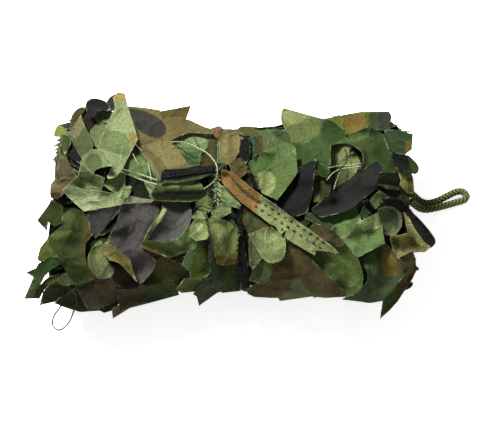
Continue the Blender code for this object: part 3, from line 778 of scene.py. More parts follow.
# Lowest first. The dye is the ground colour, lift and curl are mm, and the outline and the
# patches are on the squared paper, where ~ marks a point that a curve goes through. A fold is
# a ridge or, less than 0, a groove: x, y to x, y in squares, how wide and how high in mm.
# Soft is how many times as wide as usual the print's borders fade.
LEAVES = (
    # the top left
    Leaf("dark_behind", "211f14", 0, 1, "78,112 86,106 97,110 97,131 92,142 83,126"),
    Leaf("grey_scrap", "33302e", 0, 1, "58,125 70,122 71,130 64,129"),
    Leaf("black_scrap", "1f1e1a", 0, 1, "66,146 74,143 83,156 82,165 72,159 67,153"),
    Leaf("green_tip_left", "747f34", 2, 1,
         "54,133~ 57,126 61,126~ 67,131 68,137 54,136.5"),
    Leaf("left_stem", "38461e", 2, 1, "61,135 69,135 71,143~ 67,151 65,157 63,150~ 62,142"),
    Leaf("brown_crescent", "4d411c", 1, 2,
         "70,128 71,118~ 75,111~ 81,107~ 86,108 81,116 78,122 71,131"),
    Leaf("green_under_black", "587a42", 0, 1, "94,117 98,110 106,109 113,112 107,123 98,122"),
    Leaf("pale_piece_left", "6c794e", 1, 2, "90,131 98,121 106,125 106,132 99,150 91,142"),
    Leaf("black_tip", "332f30", 1, 1, "106,103 109,98~ 113,95~ 116,94 117,108 110,112"),
    Leaf("black_lobe", "201e1e", 2, 3,
         "86,108 86,103~ 90,99~ 97,98.5~ 105,101~ 108,104 111,110 106,111~ 98,111~ 95,117~ "
         "90,118 87,112"),
    Leaf("olive_square", "575f3a", 1, 2,
         "68.5,133 81,114.5 84,124~ 92,140 93,149 81,158 74,145",
         (("7c7c5a", "68.5,133 81,114 85,125 76,140"),)),
    # the cloth left of the tie
    Leaf("dark_hollow", "1c2414", 0, 0, "100,168 126,172 152,178 160,186 156,200 122,204 104,194"),
    Leaf("khaki_fold", "8e8454", 0, 2,
         "136,138 158,140~ 171,138 183,156 190,169 165,171 161,181 158,182 148,163 138,150",
         (("8d9862", "138,144 150,152 150,165 170,168 161,183 155,183 146,163"),
          ("76723f", "171,139 184,156 190,169 182,168 176,152")),
         ((150, 152, 150, 168, 4, -1.5), (140, 141, 171, 141, 5, 2))),
    Leaf("stitched_cloth", "6f8450", 0, 1,
         "137,145 143,149 151,164 158,180 158,186 150,183 121,172 121,168 129,155",
         (("485834", "150,170 160,180 158,186 140,180"),), soft=1.5),
    Leaf("green_wedge", "96b470", 1, 2,
         "103,185 108,179 121,170 126,172 125,187 120,198 113,192",
         (("96b068", "104,186 110,181 118,190 118,198 110,192"),)),
    Leaf("inner_cloth", "728a53", 0, 1,
         "168,140 178,136~ 190,131~ 213,131 211,142 207,148 201,154 200,165 190,167 185,158 "
         "178,152",
         (("4e6640", "180,152 199,151 200,166 189,167"),
          ("8aa06c", "186,134 208,132 206,142 192,146")), soft=1.5),
    Leaf("brown_waist_left", "554f2a", 0, 1,
         "211,132 216,138 216,160 209,170 199,166 202,155 206,148"),
    Leaf("olive_spike", "605624", 0, 1, "156,112 191,105.5 186,120 158,121",
         (("62562a", "165,116 190,108 186,121 162,121"),)),
    # khaki_arm's second patch makes the flatter part below the fold lighter than the arm above it:
    # painted light.
    Leaf("khaki_arm", "746a40", 1, 2,
         "127,106 144,107.5 160,110 163,118.5 178,117 190,120 205,127 214,129.5 213,134 "
         "202,133.5 190,133~ 178,137~ 171,141 183,156 190,168 165,170 161,182 158,181 "
         "148,163 138,148 131,133",
         (("3c3c34", "129,108 141,109.5 152,114 161,120 166,127~ 165,134~ 158,138~ 148,136~ "
           "137,129 132,118"),
          ("8c8454", "140,146 158,141 171,140 186,160 188,168 168,170 162,160 150,150"),
          ("7c865a", "138,147 150,158 158,170 163,183 156,183 147,164")),
         ((134, 121, 160, 123, 3, 2), (165, 130, 212, 131, 6, 2), (142, 140, 176, 138, 4, 1.5),
          (152, 150, 163, 172, 4, -1.2))),
    Leaf("tall_blade", "98a372", 2, 3,
         "113,97 117,93~ 121,92.5~ 125,93.5 128.5,108 135,129 138,139 127,160 121,171~ "
         "115,177~ 108,179 107,176 112,167 101,153 97,148 103,133 108,121 115,107",
         (("788a56", "101,149 100.5,141~ 106,133~ 115,130.5~ 125,134~ 130.5,144~ 129,155~ "
           "128,157"),
          ("a89854", "110,100 112,92 127,92 127,101"),
          ("918452", "128.5,131 137.5,134 134,148 130.5,145")),
         ((101, 149, 128, 157, 2.5, -1.6), (116, 98, 118, 128, 5, 2.5),
          (108, 160, 120, 170, 6, 2))),
    Leaf("small_pale", "96a46e", 1, 1, "123,186 130,185.5 132,187 129,195~ 125,199~ 121,198"),
    Leaf("pale_point", "909a6a", 1, 1, "143,180 157,185 155,190 151,196 147,189"),
    Leaf("pale_strip", "868f6a", 1, 1, "121,201 130,195.5 143,198.5 156,199.5 150,203 124,204"),
    # A dark sheet under the funnel's mouth: painted shade inside the opening.
    Leaf("black_mouth", "14150e", 0, 0, "97,174 103,170.5 110,167 108,170 103,176 98,178"),
    Leaf("funnel", "7a8858", 3, 3,
         "81,156.5 92,149.5 99,148.5 103,152 111.5,166 104,167~ 97,169~ 93,173.5 88,169 84,163",
         (("59673e", "84,166 86,158~ 93,153~ 100,157~ 102,166~ 94,173"),),
         ((90, 156, 100, 160, 5, -2),)),
    Leaf("brown_ear", "5d543c", 1, 3,
         "59,164 66,156 73,172 79,178 60,180 58,170~",
         (("43521f", "64,155 67,156 72,168 69,170"),)),
    Leaf("brown_roll", "6c5e40", 1, 3,
         "50,190 51,184~ 55,180~ 62,179 78,177 70,186 63,192 64,194 57,199.5 51,198 50,194~",
         (("80734e", "50,190 52,183 60,180 70,182 60,187"),
          ("3c331c", "50,193 62,192 63,194 57,200 50,199"))),
    # The dark patch on moss_leaf's upper part is painted shade, where the cloth bends away from the
    # light.
    Leaf("moss_leaf", "919c66", 1, 2,
         "62,190 69,183 78,177 81,160 93,174 105,178 101,193 90,192",
         (("586439", "78,178 82,162 92,174 96,186"),), soft=2),
    Leaf("pale_leaf", "a5b480", 2, 2,
         "62,191 69,185.5 84,189 100,191 113,193.5 124,200.5 124,205.5 84,211.5 74,202.5",
         (("a2b07c", "84,189 100,190 113,193 104,197 90,194"),
          ("9cab7b", "66,190 80,193 96,203 84,208 75,201")), soft=2),
    # left, below
    Leaf("side_tip_high", "313a16", 0, 2,
         "37,220.5 49,204 51,199.5 63,206 63,222 55,227 48,222 46.5,231 42,226",
         (("353e18", "40,218 49,205 54,207 50,219"),)),
    Leaf("left_olive", "5e662a", 0, 2,
         "47,239 54,251 63,258 57,258 48,259 42,262.5 37,260 40,248",
         (("495523", "46,250 56,256 48,260 41,262"),)),
    Leaf("dark_foot", "1f1e18", 0, 0, "52,276 78,268 100,286 118,300 112,310 80,312 60,306 48,296"),
    Leaf("side_tip_foot", "2f3518", 0, 2, "39.5,305.5 43,292 50,284 62,283 76,290 77,301 54,302"),
    Leaf("side_tip_low", "4c6032", 1, 2,
         "33,278 38,266 45,275 40,285 33,297 41,298.5 24,299",
         (("384f20", "34,288 40,284 33,298 28,298"),)),
    Leaf("side_tip_fore", "2e380e", 1, 2,
         "39,299 44,290 52,284 61,283 58,275 50,276 44,281 37,289 32,298",
         (("566032", "44,284 56,277 58,281 48,286"),), soft=2),
    Leaf("side_tip_mid", "3a4f26", 1, 2,
         "26,272.5 36,268 38,264 48,258 57,256.5 63,260 61,264 50,270.5 44,277 39,286 33,277",
         (("456334", "38,266 50,260 58,258 50,268"),)),
    Leaf("small_oval", "717d50", 1, 1,
         "57,279 62,275~ 67,272.5 72,279 76,284 66,286~ 60,284~"),
    Leaf("bottom_dark", "242d18", 0, 1,
         "75,289 93,291 96,300 99,308 83,312~ 72,309 54,303.5 59,298"),
    Leaf("tail_black", "1d1b1a", 0, 0, "97,309 112,303 121,301 114,310 104,313"),
    Leaf("brown_sweep", "5a5240", 1, 2,
         "74,285 85,264 97,276 110,276 120,285 130,288 141,285 151,284 151,292 120,301 "
         "95,309 88,311",
         (("3f4d28", "120,286 151,284 150,292 122,300"),
          ("594d32", "80,284 88,270 100,280 112,284 96,296")), soft=2),
    Leaf("brown_tail_leaf", "746649", 1, 2,
         "113,318.5 112,308 130,301 148,300 150,303 130,308"),
    Leaf("lower_band", "3b4929", 1, 2,
         "117,290 150,284 177,280 178,290 179,295 150,303 146,302 120,311",
         (("493f28", "116,290 142,286 146,302 119,312"),), soft=2),
    Leaf("charcoal_slip", "403e3c", 0, 1, "87,211 120,205 122,207 112,220 95,239 91,232"),
    Leaf("brown_green_low", "4a4c2a", 0, 1,
         "140,284 154,261 165,257 180,263 189,270 191,281 180,284 150,287",
         (("56502f", "156,264 166,260 178,268 170,276"),)),
    Leaf("charcoal_long", "575450", 2, 3,
         "121,204 160,202 164,203 150,228 143,240 141,247 145,252 153,258 156,262 152,272~ "
         "140,285 136,278 131,262 127,257 118,250 107,245 109,237 117,222",
         (("66744c", "117,204 122,206 114,222 111,240 106,246 103,238"),),
         ((150, 215, 132, 258, 8, 1.6), (121, 215, 118, 246, 5, 1.2)), soft=1.5),
    Leaf("left_kite", "3b4a23", 2, 3,
         "62,214 68,210 75,208 83,212 88,217 90,226 93,234 86,243 85,251~ 87,263~ 97,277 "
         "88,282 78,285.5 73,282 67,274 61,262 53,252 47,238 62,225",
         (("504b27", "83,211 89,216 91,226 94,234 87,243 86,252 88,264 98,278 91,282 80,262 "
           "80,244 84,230"),
          ("576634", "62,216 70,211 76,214 70,232 58,240 50,238"),
          ("31411b", "54,250 66,248 76,268 74,283 66,274")),
         ((66, 220, 74, 272, 7, 3), (54, 240, 84, 236, 3, 1.2), (60, 262, 84, 250, 3, 1.2)),
         soft=2.5),
    Leaf("pale_oval", "7e8656", 2, 3,
         "97,242 101,240 104,246 104,252 107,260 116,272 111,277 104,279 98,278~ 91,270~ "
         "88,260~ 90,252~ 93,247",
         (("9a9c64", "95,246 101,243 102,256 96,262"),), soft=2),
    Leaf("olive_dark_under", "282215", 0, 1,
         "106,259 119,262 128,271 136,281 142,285 130,290~ 120,287 110,278 114,272"),
    Leaf("olive_crescent", "90874c", 2, 2,
         "103,244 107,241.5 114,247.5 125,254.5 130,260~ 133,270 137,282 128,272~ 119,263~ "
         "110,260 103,253",
         (("757139", "104,248 116,252 128,264 134,278 126,270 112,259"),), soft=1.6),
    Leaf("charcoal_round", "605e59", 2, 3,
         "162,202 190,203 192,214 189,226~ 182,237.5~ 170,242 150,243 143,242 151,226 162,210",
         (("b9d080", "143,241 150,228 162,209 169,207 162,218 152,232 147,242"),),
         ((170, 212, 180, 230, 8, 1.4),)),
    Leaf("mossy_band", "5e713f", 2, 3,
         "142,240 155,241.5 170,240 180,237 188,227 191,226 193,238 201,242 197,247.5 "
         "188,251 170,258 150,251 141,247",
         (("655a32", "141,240 150,243 160,249 168,257 150,252 141,247"),
          ("9cb470", "170,240 188,228 192,240 180,246")),
         ((146, 245, 196, 243, 5, 2), (160, 242, 184, 254, 2.8, 1.3),
          (176, 240, 196, 248, 2.8, 1.2)),
         soft=2.5),
    Leaf("green_low", "626e3f", 1, 2,
         "176,290 185,278 200,279 207,276.5 216,275.5 209,281.5 200,291 182,293"),
    Leaf("green_sliver", "748f5c", 1, 1, "182,264 187,252 193,247 197,250 191,267 188,271"),
    Leaf("tip_bottom", "4a523c", 0, 1, "199,306 197,297 193,294 205,280 216,275 223,291 217,293"),
    Leaf("green_drop", "5b6c2e", 2, 2,
         "190,268 196,252 200,246.5 206,250 210,262 210,274 200,281 190,277",
         (("6a8040", "196,254 202,250 206,262 198,268"),),
         ((199, 250, 200, 278, 2.6, 1.4),), soft=2),
    # round the waist
    Leaf("dark_mid", "434e2c", 0, 1,
         "217,262 231,265 238,263 241,270 241,291 222,293 218,280", (),
         ((224, 264, 227, 292, 2.5, 1.5), (234, 264, 235, 290, 2.5, 1.5))),
    Leaf("brown_green_mid", "564c2d", 0, 2,
         "238,204 252,207 276,227 262,230 249,235 242,220",
         (("545f36", "240,206 250,209 262,222 250,230"),), soft=2),
    # The flap is a rolled tube: its dark lower patch is painted shade and its light upper patch a
    # painted highlight.
    Leaf("dark_flap", "687944", 1, 3,
         "149,196 158,184 162,181 180,179.5 196,178 202,185 205,190 211,193 200,200 190,202 "
         "155,201",
         (("17200e", "150,193 170,190 205,189 212,193 200,201 155,202"),
          ("a0b870", "160,184 180,181 196,180 190,184 170,187")),
         ((156, 186, 204, 187, 4, 3.5), (164, 196, 200, 197, 3, -2)), soft=3),
    Leaf("small_green_1", "70864c", 1, 2,
         "196,203 207,195 213,200 213,208 209,213 197,208"),
    Leaf("light_green_mid", "96aa6e", 1, 2,
         "218,184 226,186 236,196 241,205 240,209 230,206 221,200",
         (("728652", "222,196 236,200 240,209 226,206"),),
         ((220, 186, 236, 206, 2.5, 1.2), (228, 188, 226, 204, 2.5, -1))),
    Leaf("curl_olive", "909a68", 1, 2, "191,218 197,209.5 206,212.5 208,218 200,220"),
    Leaf("pale_small_3", "94a262", 2, 2,
         "190,226 196,218.5 206,219.5 210,232 207,239 196,241 190,236",
         (("c0ca8c", "194,224 202,222 204,230 198,234"),),
         ((194, 222, 204, 238, 2.6, 1.4),)),
    Leaf("curl_small", "808a5e", 3, 2,
         "211,212 218,204.5 222,202.5 231,207 231,212.5 222,217.5 219,219.5 213,217",
         (("6c7848", "214,214 222,210 230,211 222,218 218,219"),),
         ((212, 212, 230, 207, 2.6, -1.6), (218, 218, 224, 204, 2.6, 1.2))),
    Leaf("vee_leaf", "76834a", 2, 2,
         "206,220 212,216.5 228,221.5 241,231.5 238,240 238,262 228,266 218,264 215,255 "
         "210,240",
         (("61552a", "214,254 226,256 240,252 238,263 228,267 217,265"),
          ("8d985e", "210,222 222,222 230,234 220,246")),
         ((221, 222, 225, 262, 4, 2), (230, 226, 216, 246, 2.6, 1.2),
          (236, 232, 222, 262, 2.6, -1)),
         soft=2.5),
    Leaf("khaki_waist", "7d7248", 1, 2,
         "220,131 236,129.5 244,137 239,152 233,163 226,165 221,166 219,150",
         (("88804f", "230,132 244,137 238,152 234,150"),
          ("8e8458", "222,134 230,134 228,150 222,156")),
         ((228, 134, 228, 160, 4, 2),), soft=2),
    Leaf("khaki_crumple", "655b37", 1, 3,
         "229,163 236,158.5 243,157.5 247,172 240,179 231,173",
         (("605533", "236,166 246,166 244,176 238,178"),),
         ((232, 168, 244, 164, 2.5, 2),)),
    Leaf("top_curl", "5c582b", 1, 2,
         "236,130 241,126.5~ 248,126.5~ 256,129.5~ 262,136 257,138 250,136 243,135"),
    Leaf("teal_frayed", "425940", 0, 2, "249,137 258,134.5 258,150 253,164 247,164 246,150"),
    Leaf("brown_right_waist", "625a34", 0, 2, "257,138 269,136 271,156 262,158 256,152",
         (("7c7c42", "262,138 271,138 270,150 264,150"),)),
    Leaf("black_strip_high", "181712", 1, 1, "240,139 251,140.5 250,156 246,164 239,156"),
    Leaf("black_strip_low", "12120e", 1, 2, "246,164 254,174 260,182 259,189 252,187 249,176"),
    # the top right
    Leaf("green_top_mid", "667b4a", 1, 2,
         "261,134 266,128.5 271,129.5 288,130 298,147 284,159 262,151 268,143",
         (("4a5936", "270,130 288,131 296,146 284,142 274,136"),), soft=2),
    Leaf("arch_lining", "828c5a", 0, 1,
         "326,145 346,142 362,150 362,168 350,186 336,196 326,180",
         (("525e36", "330,166 350,166 346,184 336,196 328,182"),)),
    Leaf("arch_crumple", "60643a", 1, 3,
         "310,178 322,174 332,178 330,192 334,202 314,202",
         (("3a4021", "318,184 330,182 332,200 320,200"),),
         ((314, 182, 330, 196, 3, 2),)),
    Leaf("big_leaf_right", "696f2e", 2, 3,
         "322,119 345,114.5 362,111.5 378,111.5 389,111.5 391.5,117~ 388.5,130.5 378,130 "
         "369,128 356,131 345,138 342,131 334,122",
         (("7a6730", "342,123 347,115~ 356,113~ 364,117~ 366,124~ 360,130~ 350,132~"),
          ("3a3a30", "377,110 393,110 393,118 389,131 379,131 377,120"),
          ("3f4d24", "369,111 378,111 379,130 369,129")),
         ((345, 116, 386, 114, 4, 2), (356, 130, 388, 124, 4, 2)), soft=2.2),
    Leaf("big_leaf_left", "41592d", 2, 3,
         "281.5,122 281,115~ 283,108.5~ 286,108.5 300,112.5 324,119 332,120.5 340,126.5 "
         "346,131 346,138 331,144 330.5,160 329.5,179 322,177 316,159 313,162 298,169 "
         "295,165 295,148 289,135 285,128",
         (("6c7944", "278,120 280,106 300,110 326,118 330,124 318,136 304,144 292,142 284,130"),
          ("344a22", "326,118 348,128 348,139 331,146 322,142 320,130"),
          ("919a60", "281,118 284,109 300,113 310,117 296,124 286,124")),
         ((290, 115, 312, 150, 8, 3), (330, 124, 334, 142, 3, 2), (300, 140, 326, 172, 3, 1.4),
          (284, 112, 330, 128, 3, 1)), soft=3),
    Leaf("arch_inner_dark", "2c3e16", 1, 2,
         "316,158 328,171 330,179 322,177 316,171"),
    # A near-black sheet along the arch's inner edge: painted shadow in the opening.
    Leaf("arch_underside", "1a2110", 0, 1,
         "346,141.5 356,144 363,151~ 366,160~ 363,170~ 354,183 349,181 357,171~ 359.5,162~ "
         "357,154~ 351,148~ 345,146"),
    # arch_leaf's third patch, dark along the opening's inner edge, is painted shadow.
    Leaf("arch_leaf", "485c2e", 4, 3,
         "330,144.5 345,138.5 356,131.5 369,127 378,130.5 381,134 385,134 391,148 396,160 "
         "400,172 402,182 390,179 381,186 366,186 352,181 361,168~ 363,158~ 360,150.5~ "
         "350,144.5~ 340,143.5~ 330,146",
         (("384b20", "372,150 384,138 398,170 401,182 390,178"),
          ("667e46", "336,143 356,133 368,130 374,138 356,142"),
          ("283a17", "362,150 368,160 362,176 352,182 362,166")),
         ((345, 140, 372, 152, 5, 3), (372, 152, 374, 182, 6, 3), (384, 138, 392, 176, 3, 1.4)),
         soft=3),
    Leaf("black_peak", "252524", 2, 2,
         "316,155 314,178 312,196 307,213 291,218 274,205 275,202 283,192 296,172 298,168 "
         "305,164 313,161",
         (("22271a", "313,160 317,154 315,180 313,197 308,213 306,208 311,190"),),
         ((302, 172, 294, 208, 8, 2),)),
    Leaf("spot_leaf", "637742", 2, 3,
         "248,162 262,155.5 275,149.5 283,157.5 296,149.5 297,166 298,172 289,185 277,200 "
         "262,193 257,184 252,172",
         (("a0ac6c", "265,170 272,173~ 276,182~ 273,191~ 265,196~ 257,192~ 254.5,183~ "
           "258,174~"),
          ("56773c", "249,162 262,155 276,151 274,163 262,168 251,170")),
         ((262, 165, 284, 180, 9, 3), (252, 172, 292, 158, 3, 1.2)), soft=1.4),
    Leaf("green_under_oval", "86ac68", 1, 2,
         "319,217 346,210 356,206 363,202 361,212 361,220 333,230",
         (("6c9450", "320,218 340,213 360,212 350,222 334,229"),), soft=2),
    Leaf("green_strip_mid", "3e4c2f", 2, 1,
         "305,215 310,212.5 320,218.5 335,225.5 333,230.5 315,224.5 305,218.5"),
    Leaf("black_oval", "2c2d2a", 3, 3,
         "311,208.5 320,202.5 333,189.5 345,181.5 360,171.5 370,164.5 377,161.5~ 381.5,166~ "
         "382.5,173~ 379.5,184~ 371.5,193 362.5,199.5 355,206.5 346,211.5 330,215.5 "
         "320,217.5 312.5,211.5",
         (("31322b", "312,208 333,190 360,172 378,162 370,172 350,186 334,198"),),
         ((335, 189, 362, 199, 3, -1.5), (320, 209, 372, 178, 7, 3))),
    # the right end
    Leaf("right_dark", "1a1e0f", 0, 0, "378,172 400,172 402,184 399,198 384,198 376,188"),
    Leaf("right_green_strip", "4e653a", 1, 1, "377,184 390,185 401,187 400,190 388,189"),
    Leaf("right_tab", "364b20", 1, 2,
         "385,129.5 398,130.5 413,134 412.5,143 411.5,149.5 405,154.5 396,153 389,150 384,138",
         (("725f27", "406,141 414,140 412,151 405,156"),
          ("3d4f22", "388,133 400,133 398,142 390,144")), soft=2),
    Leaf("olive_ear", "aab068", 1, 3,
         "398,170 409,171.5 412.5,176~ 414,188~ 413.5,194 407,193 400,185 401,180",
         (("877c3e", "406,176 413,178 414,194 408,192"),), soft=2),
    Leaf("dark_ear", "14190d", 2, 3,
         "391,155 399,153.5~ 409,155.5 417,163.5~ 419,169~ 416,173.5~ 410,172 400,171 393,164",
         (("3b4e19", "408,157 417,163 420,170 416,174 411,170"),), soft=1.5),
    Leaf("curl_leaf", "82995f", 2, 2,
         "370,200 379,190.5 385,194.5 391,197.5 380,204 375,210 370,205"),
    # A dark sheet in the hole by the green flap: painted shade.
    Leaf("flap_hole", "15160f", 0, 0, "358,210 363,201 368,199 377,211 364,224"),
    Leaf("flap_inner", "5a6742", 0, 1, "364,206 371,213 364,220 360,215"),
    Leaf("black_leaf", "2e2c26", 3, 4,
         "378,203 384,198.5~ 392,197.5~ 402,199.5 410,209.5 422,221.5 430,231 435.5,240~ "
         "433.5,246~ 427,249.5 420,238 412,225 404,214 400,212 390,206",
         (("141413", "384,199 402,200 424,224 434,238 426,232 404,206"),)),
    Leaf("round_leaf", "66724a", 3, 3,
         "378,209 388,206.5 395,208.5~ 401,215~ 401.5,226~ 396,234.5 390,235.5 384,234.5 "
         "380.5,225 379,215",
         (("465040", "384,209 393,209 399,217 399,228 394,232 396,218 390,213"),), soft=2),
    # gold_flap's third, palest patch is a painted highlight of the cloth's sheen.
    Leaf("gold_flap", "aca668", 2, 3,
         "391,235 400,235.5 408,233 404,212 409,217.5 415,229.5 422,239.5 431,247 425,252~ "
         "420,252 410,253 400,258 394,255 390,240",
         (("776f30", "404,236 416,236 426,246 414,249"),
          ("686734", "391,236 400,238 398,256 393,252"),
          ("ccc684", "406,214 410,216 419,231 431,245 428,249 417,242 409,229")), soft=2.5),
    Leaf("corner_leaf", "4c3f19", 1, 3,
         "380,319 383,300 389,290 397,282 408,268 400,262 398,258 413,251.5 415.5,258 "
         "416.5,270 412.5,279 404.5,291 398,301 390,310",
         (("3a4f24", "379,319 384,298 394,286 398,296 388,312"),
          ("6e6232", "404,262 414,256 414,272 404,284")), soft=2),
    Leaf("broad_leaf", "455435", 1, 3,
         "356,256 372,248 385,242 396,255.5 410,268 399,282 383,301 370,303~ 362,302 "
         "342,299.5 361,288 367,281 367,272 361,262",
         (("82703a", "382,245 396,258 406,268 396,276 385,276~ 381,262"),
          ("5e7444", "360,258 374,252 380,266 374,276 368,270")),
         ((372, 256, 380, 296, 8, 3), (364, 262, 376, 292, 3, 1.3), (350, 298, 384, 292, 3, 1.2)),
         soft=2.5),
    Leaf("green_flap", "6f884f", 3, 4,
         "331,229 340,224.5 359,218.5 362,221 378,212.5 381,222 385,243.5 372,250 357,258 "
         "353,254.5 345,242",
         (("86a264", "331,229 346,226 356,240 354,254 344,242"),
          ("c8e094", "358,221 376,215 378,228 364,232")),
         ((352, 226, 372, 244, 8, 4), (336, 232, 366, 222, 3, 1.2), (350, 250, 382, 240, 3, 1.2)),
         soft=3),
    # below, right of the tie
    Leaf("green_lobe", "5c703a", 1, 3,
         "299,250 315,239 330,239 347,245.5 357,257 362,270~ 363,280~ 361,288.5~ 354,295~ "
         "345,297 334,285.5 324,273.5 311,262.5",
         (("6b5a3a", "300,236 320,226 346,244 340,247 328,242 312,246"),
          ("728a46", "340,262 352,262 358,278 350,288 340,276")),
         ((325, 250, 352, 284, 8, 3),), soft=3.5),
    Leaf("green_lobe_top", "524e2e", 2, 2,
         "306,229 315,223.5 325,225.5 333,230.5 346,243.5 340,247 329,241 316,238"),
    Leaf("brown_broad", "594f32", 1, 3,
         "283,239 292,242.5 303,251.5 324,271.5 336,282.5 347,294.5 344,297 325,298 "
         "312,296.5 295,299 280,301 278,298 270,298 254,297 248,294 246,290 257,283 "
         "269,270 269,262 282,255 284,245",
         (("727c52", "290,280 300,279 304,284 309,292 326,297 279,301 283,291 292,290"),
          ("695f37", "288,246 300,254 310,268 298,274 288,264"),
          ("5e5434", "270,272 286,266 290,280 276,292 258,290")),
         ((290, 250, 320, 290, 9, 3), (262, 286, 290, 280, 6, 2), (270, 262, 332, 288, 3, 1.2),
          (250, 290, 300, 294, 3, 1.4)), soft=3),
    Leaf("dark_petal", "5c693f", 1, 2,
         "259,256 270,261 273,270 268,281 262,285 249,280"),
    Leaf("tongue_under", "687046", 1, 2, "249,238 258,249 263,255 259,262 252,271 249,262"),
    Leaf("tongue", "8a9860", 3, 3,
         "248,234 262,228.5 272,226.5 278,232 285,236 286,245 285,254~ 280,261~ 270,263~ "
         "262,258 257,249 251,239",
         (("b0c07e", "256,234 270,230 278,238 266,244"),
          ("748252", "262,256 270,262 284,256 284,246 276,254")),
         ((262, 236, 276, 252, 6, 2.5),), soft=2),
)

LEAF_SEED = 100
HOLES = 11  # in each of the two rows that a loom's needles leave along a selvage
FIRST_OVER_TIE = "brown_green_mid"
LIVELY_SCALE = 24 * MM  # from one curled stretch of an edge to the next
RUMPLE, RUMPLE_SCALE = 0.45 * MM, 14 * MM  # the cloth's own waves: how high, and how wide


def ridge(flat, fold):
    """How high a fold stands at each point."""
    x0, y0, x1, y1, wide, high = fold
    a, b = on_paper([(x0, y0), (x1, y1)])
    run = b - a
    t = np.clip(((flat - a) @ run) / max(run @ run, 1e-18), 0, 1)
    away = np.linalg.norm(flat - a - t[:, None] * run, axis=1)
    return high * MM * np.exp(-((away / (wide * MM)) ** 2))


def leaf_shape(lift, curl, folds, seed):
    """A function for how much a leaf stands off what it lies on."""

    def shape(flat, edge):
        at_edge = np.clip(1 - edge / CURL_REACH, 0, 1) ** 2
        lively = 0.5 + 1.1 * roughness_of(flat, LIVELY_SCALE, seed)
        height = lift * MM + CURLED * curl * MM * at_edge * np.clip(lively, 0, 1.4)
        height = height + RUMPLE * roughness_of(flat, RUMPLE_SCALE, seed + 31) * (curl > 0)
        if curl:
            away = flat - flat.mean(axis=0)
            way = math.radians(LEAN_WAY + 50 * math.sin(2.4 * seed))
            out = away @ np.array([math.cos(way), math.sin(way)])
            height = height + LEAN * lift * MM * out / np.abs(out).max()
        for fold in folds:
            height = height + ridge(flat, fold)
        return height

    return shape


def patch_depth(text, soft=1.0):
    """A function for how far inside a patch each point is; soft fades its border wider."""
    loop = smooth_loop(*read_outline(text), 2.5)
    return lambda flat: inside_by(flat, on_paper(loop)) / soft


# ---- the leaves all round ---------------------------------------------------------------

BACK_ROWS = (  # first x, step, round of the roots, length, width, slant of the heading, mm
    (-128, 84, -92, 44, 34, 14),
    (-88, 86, -118, 40, 32, -12),
)
BACK_IN_ROW = 4
ALL_ROUND_STEP = (31 * MM, 27 * MM)  # along and round, from one leaf to the next
ALL_ROUND_REACH = 150 * MM
FURTHEST = (-155 * MM, 161 * MM)  # how far along a leaf that isn't on the front reaches
ROUND_DYES = (  # the ground colour, then two patches
    ("4f6d3a", "2b2a24", "7d8f50"),
    ("6b5a3a", "3f5a30", "2b2824"),
    ("3d5c34", "6f8a48", "5a4a2e"),
    ("2d2b2b", "4a5c30", "6a5a3c"),
    ("839562", "5c7a44", "4a4230"),
    ("5c7a40", "34482a", "857448"),
)


def leaf_loop(middle, length, width, heading, rng):
    """The outline of a leaf cut freehand: pointed or round, with uneven sides."""
    pointed = rng.uniform(0.6, 1.6)
    belly = rng.uniform(-0.25, 0.25)
    t = np.linspace(0, 1, 9)
    half = np.sin(math.pi * np.clip(t + belly * t * (1 - t) * 2, 0, 1)) ** (0.75 * pointed)
    half = np.maximum(half * width / 2, 1.2 * MM)
    root = rng.uniform(0.25, 0.9)
    half[0] = root * width / 2
    half[1] = max(half[1], (root * 0.6 + 0.3) * width / 2)
    up = half * rng.uniform(0.8, 1.15, 9)
    down = -half * rng.uniform(0.8, 1.15, 9)
    bend = rng.uniform(-0.16, 0.16) * length * np.sin(math.pi * t)
    along = (t - 0.5) * length
    points = np.concatenate(
        [np.column_stack([along, up + bend]), np.column_stack([along, down + bend])[::-1]]
    )
    curved = ([False] + [True] * 7 + [False]) * 2
    return smooth_loop(turned(points, heading) + middle, curved, 3.4 * MM)


def noise_patch(seed, scale, level):
    """A function for a printed patch with no set outline."""
    return lambda flat: (roughness_of(flat, scale, seed) - level) * scale * 0.55


def round_cut(name, middle, length, width, heading, rng, seed, step=3.6 * MM):
    """One of the leaves all round, laid on the roll's outer surface."""
    dyes = ROUND_DYES[int(rng.integers(len(ROUND_DYES)))]
    if "front" in name:  # the lowest of three layers there, seen only in the gaps between leaves: darkened as painted shade
        dyes = [shade(code, 0.4) for code in dyes]
    loop = leaf_loop(np.array(middle), length, width, heading, rng)
    past = rng.uniform(0, 9) * MM
    crown = math.exp(-(((middle[1] + 45 * MM) / (35 * MM)) ** 2))  # 1 along the crown's back
    past += 16 * MM * crown
    loop[:, 0] -= max(0.0, loop[:, 0].max() + past - FURTHEST[1])
    loop[:, 0] += max(0.0, FURTHEST[0] + past - loop[:, 0].min())
    patches = (
        (dyes[1], noise_patch(seed, 26 * MM, 0.12)),
        (dyes[2], noise_patch(seed + 50, 30 * MM, 0.2)),
    )
    tied = math.exp(-(((middle[0] - 4 * MM) / (55 * MM)) ** 2))  # flat where the tie is
    curl = rng.uniform(1.5, 4.5) * (1 - 0.75 * tied) * (1 - 0.6 * crown)
    shape = leaf_shape(0.0, curl, (), seed)
    return lay(WRAP, name, loop, dyes[0], patches, shape, step, 0.6)


# ---- tubes: threads, strings and ropes ------------------------------------------------


def frames_along(path):
    """Two crosswise directions at each point of a path, without twist."""
    tangent = np.gradient(path, axis=0)
    tangent /= np.linalg.norm(tangent, axis=1, keepdims=True)
    side = np.cross(tangent[0], [0.0, 0.0, 1.0])
    if np.linalg.norm(side) < 1e-3:
        side = np.array([1.0, 0.0, 0.0])
    sides = []
    for t in tangent:
        side = side - t * (side @ t)
        side = side / np.linalg.norm(side)
        sides.append(side)
    sides = np.array(sides)
    return sides, np.cross(tangent, sides)


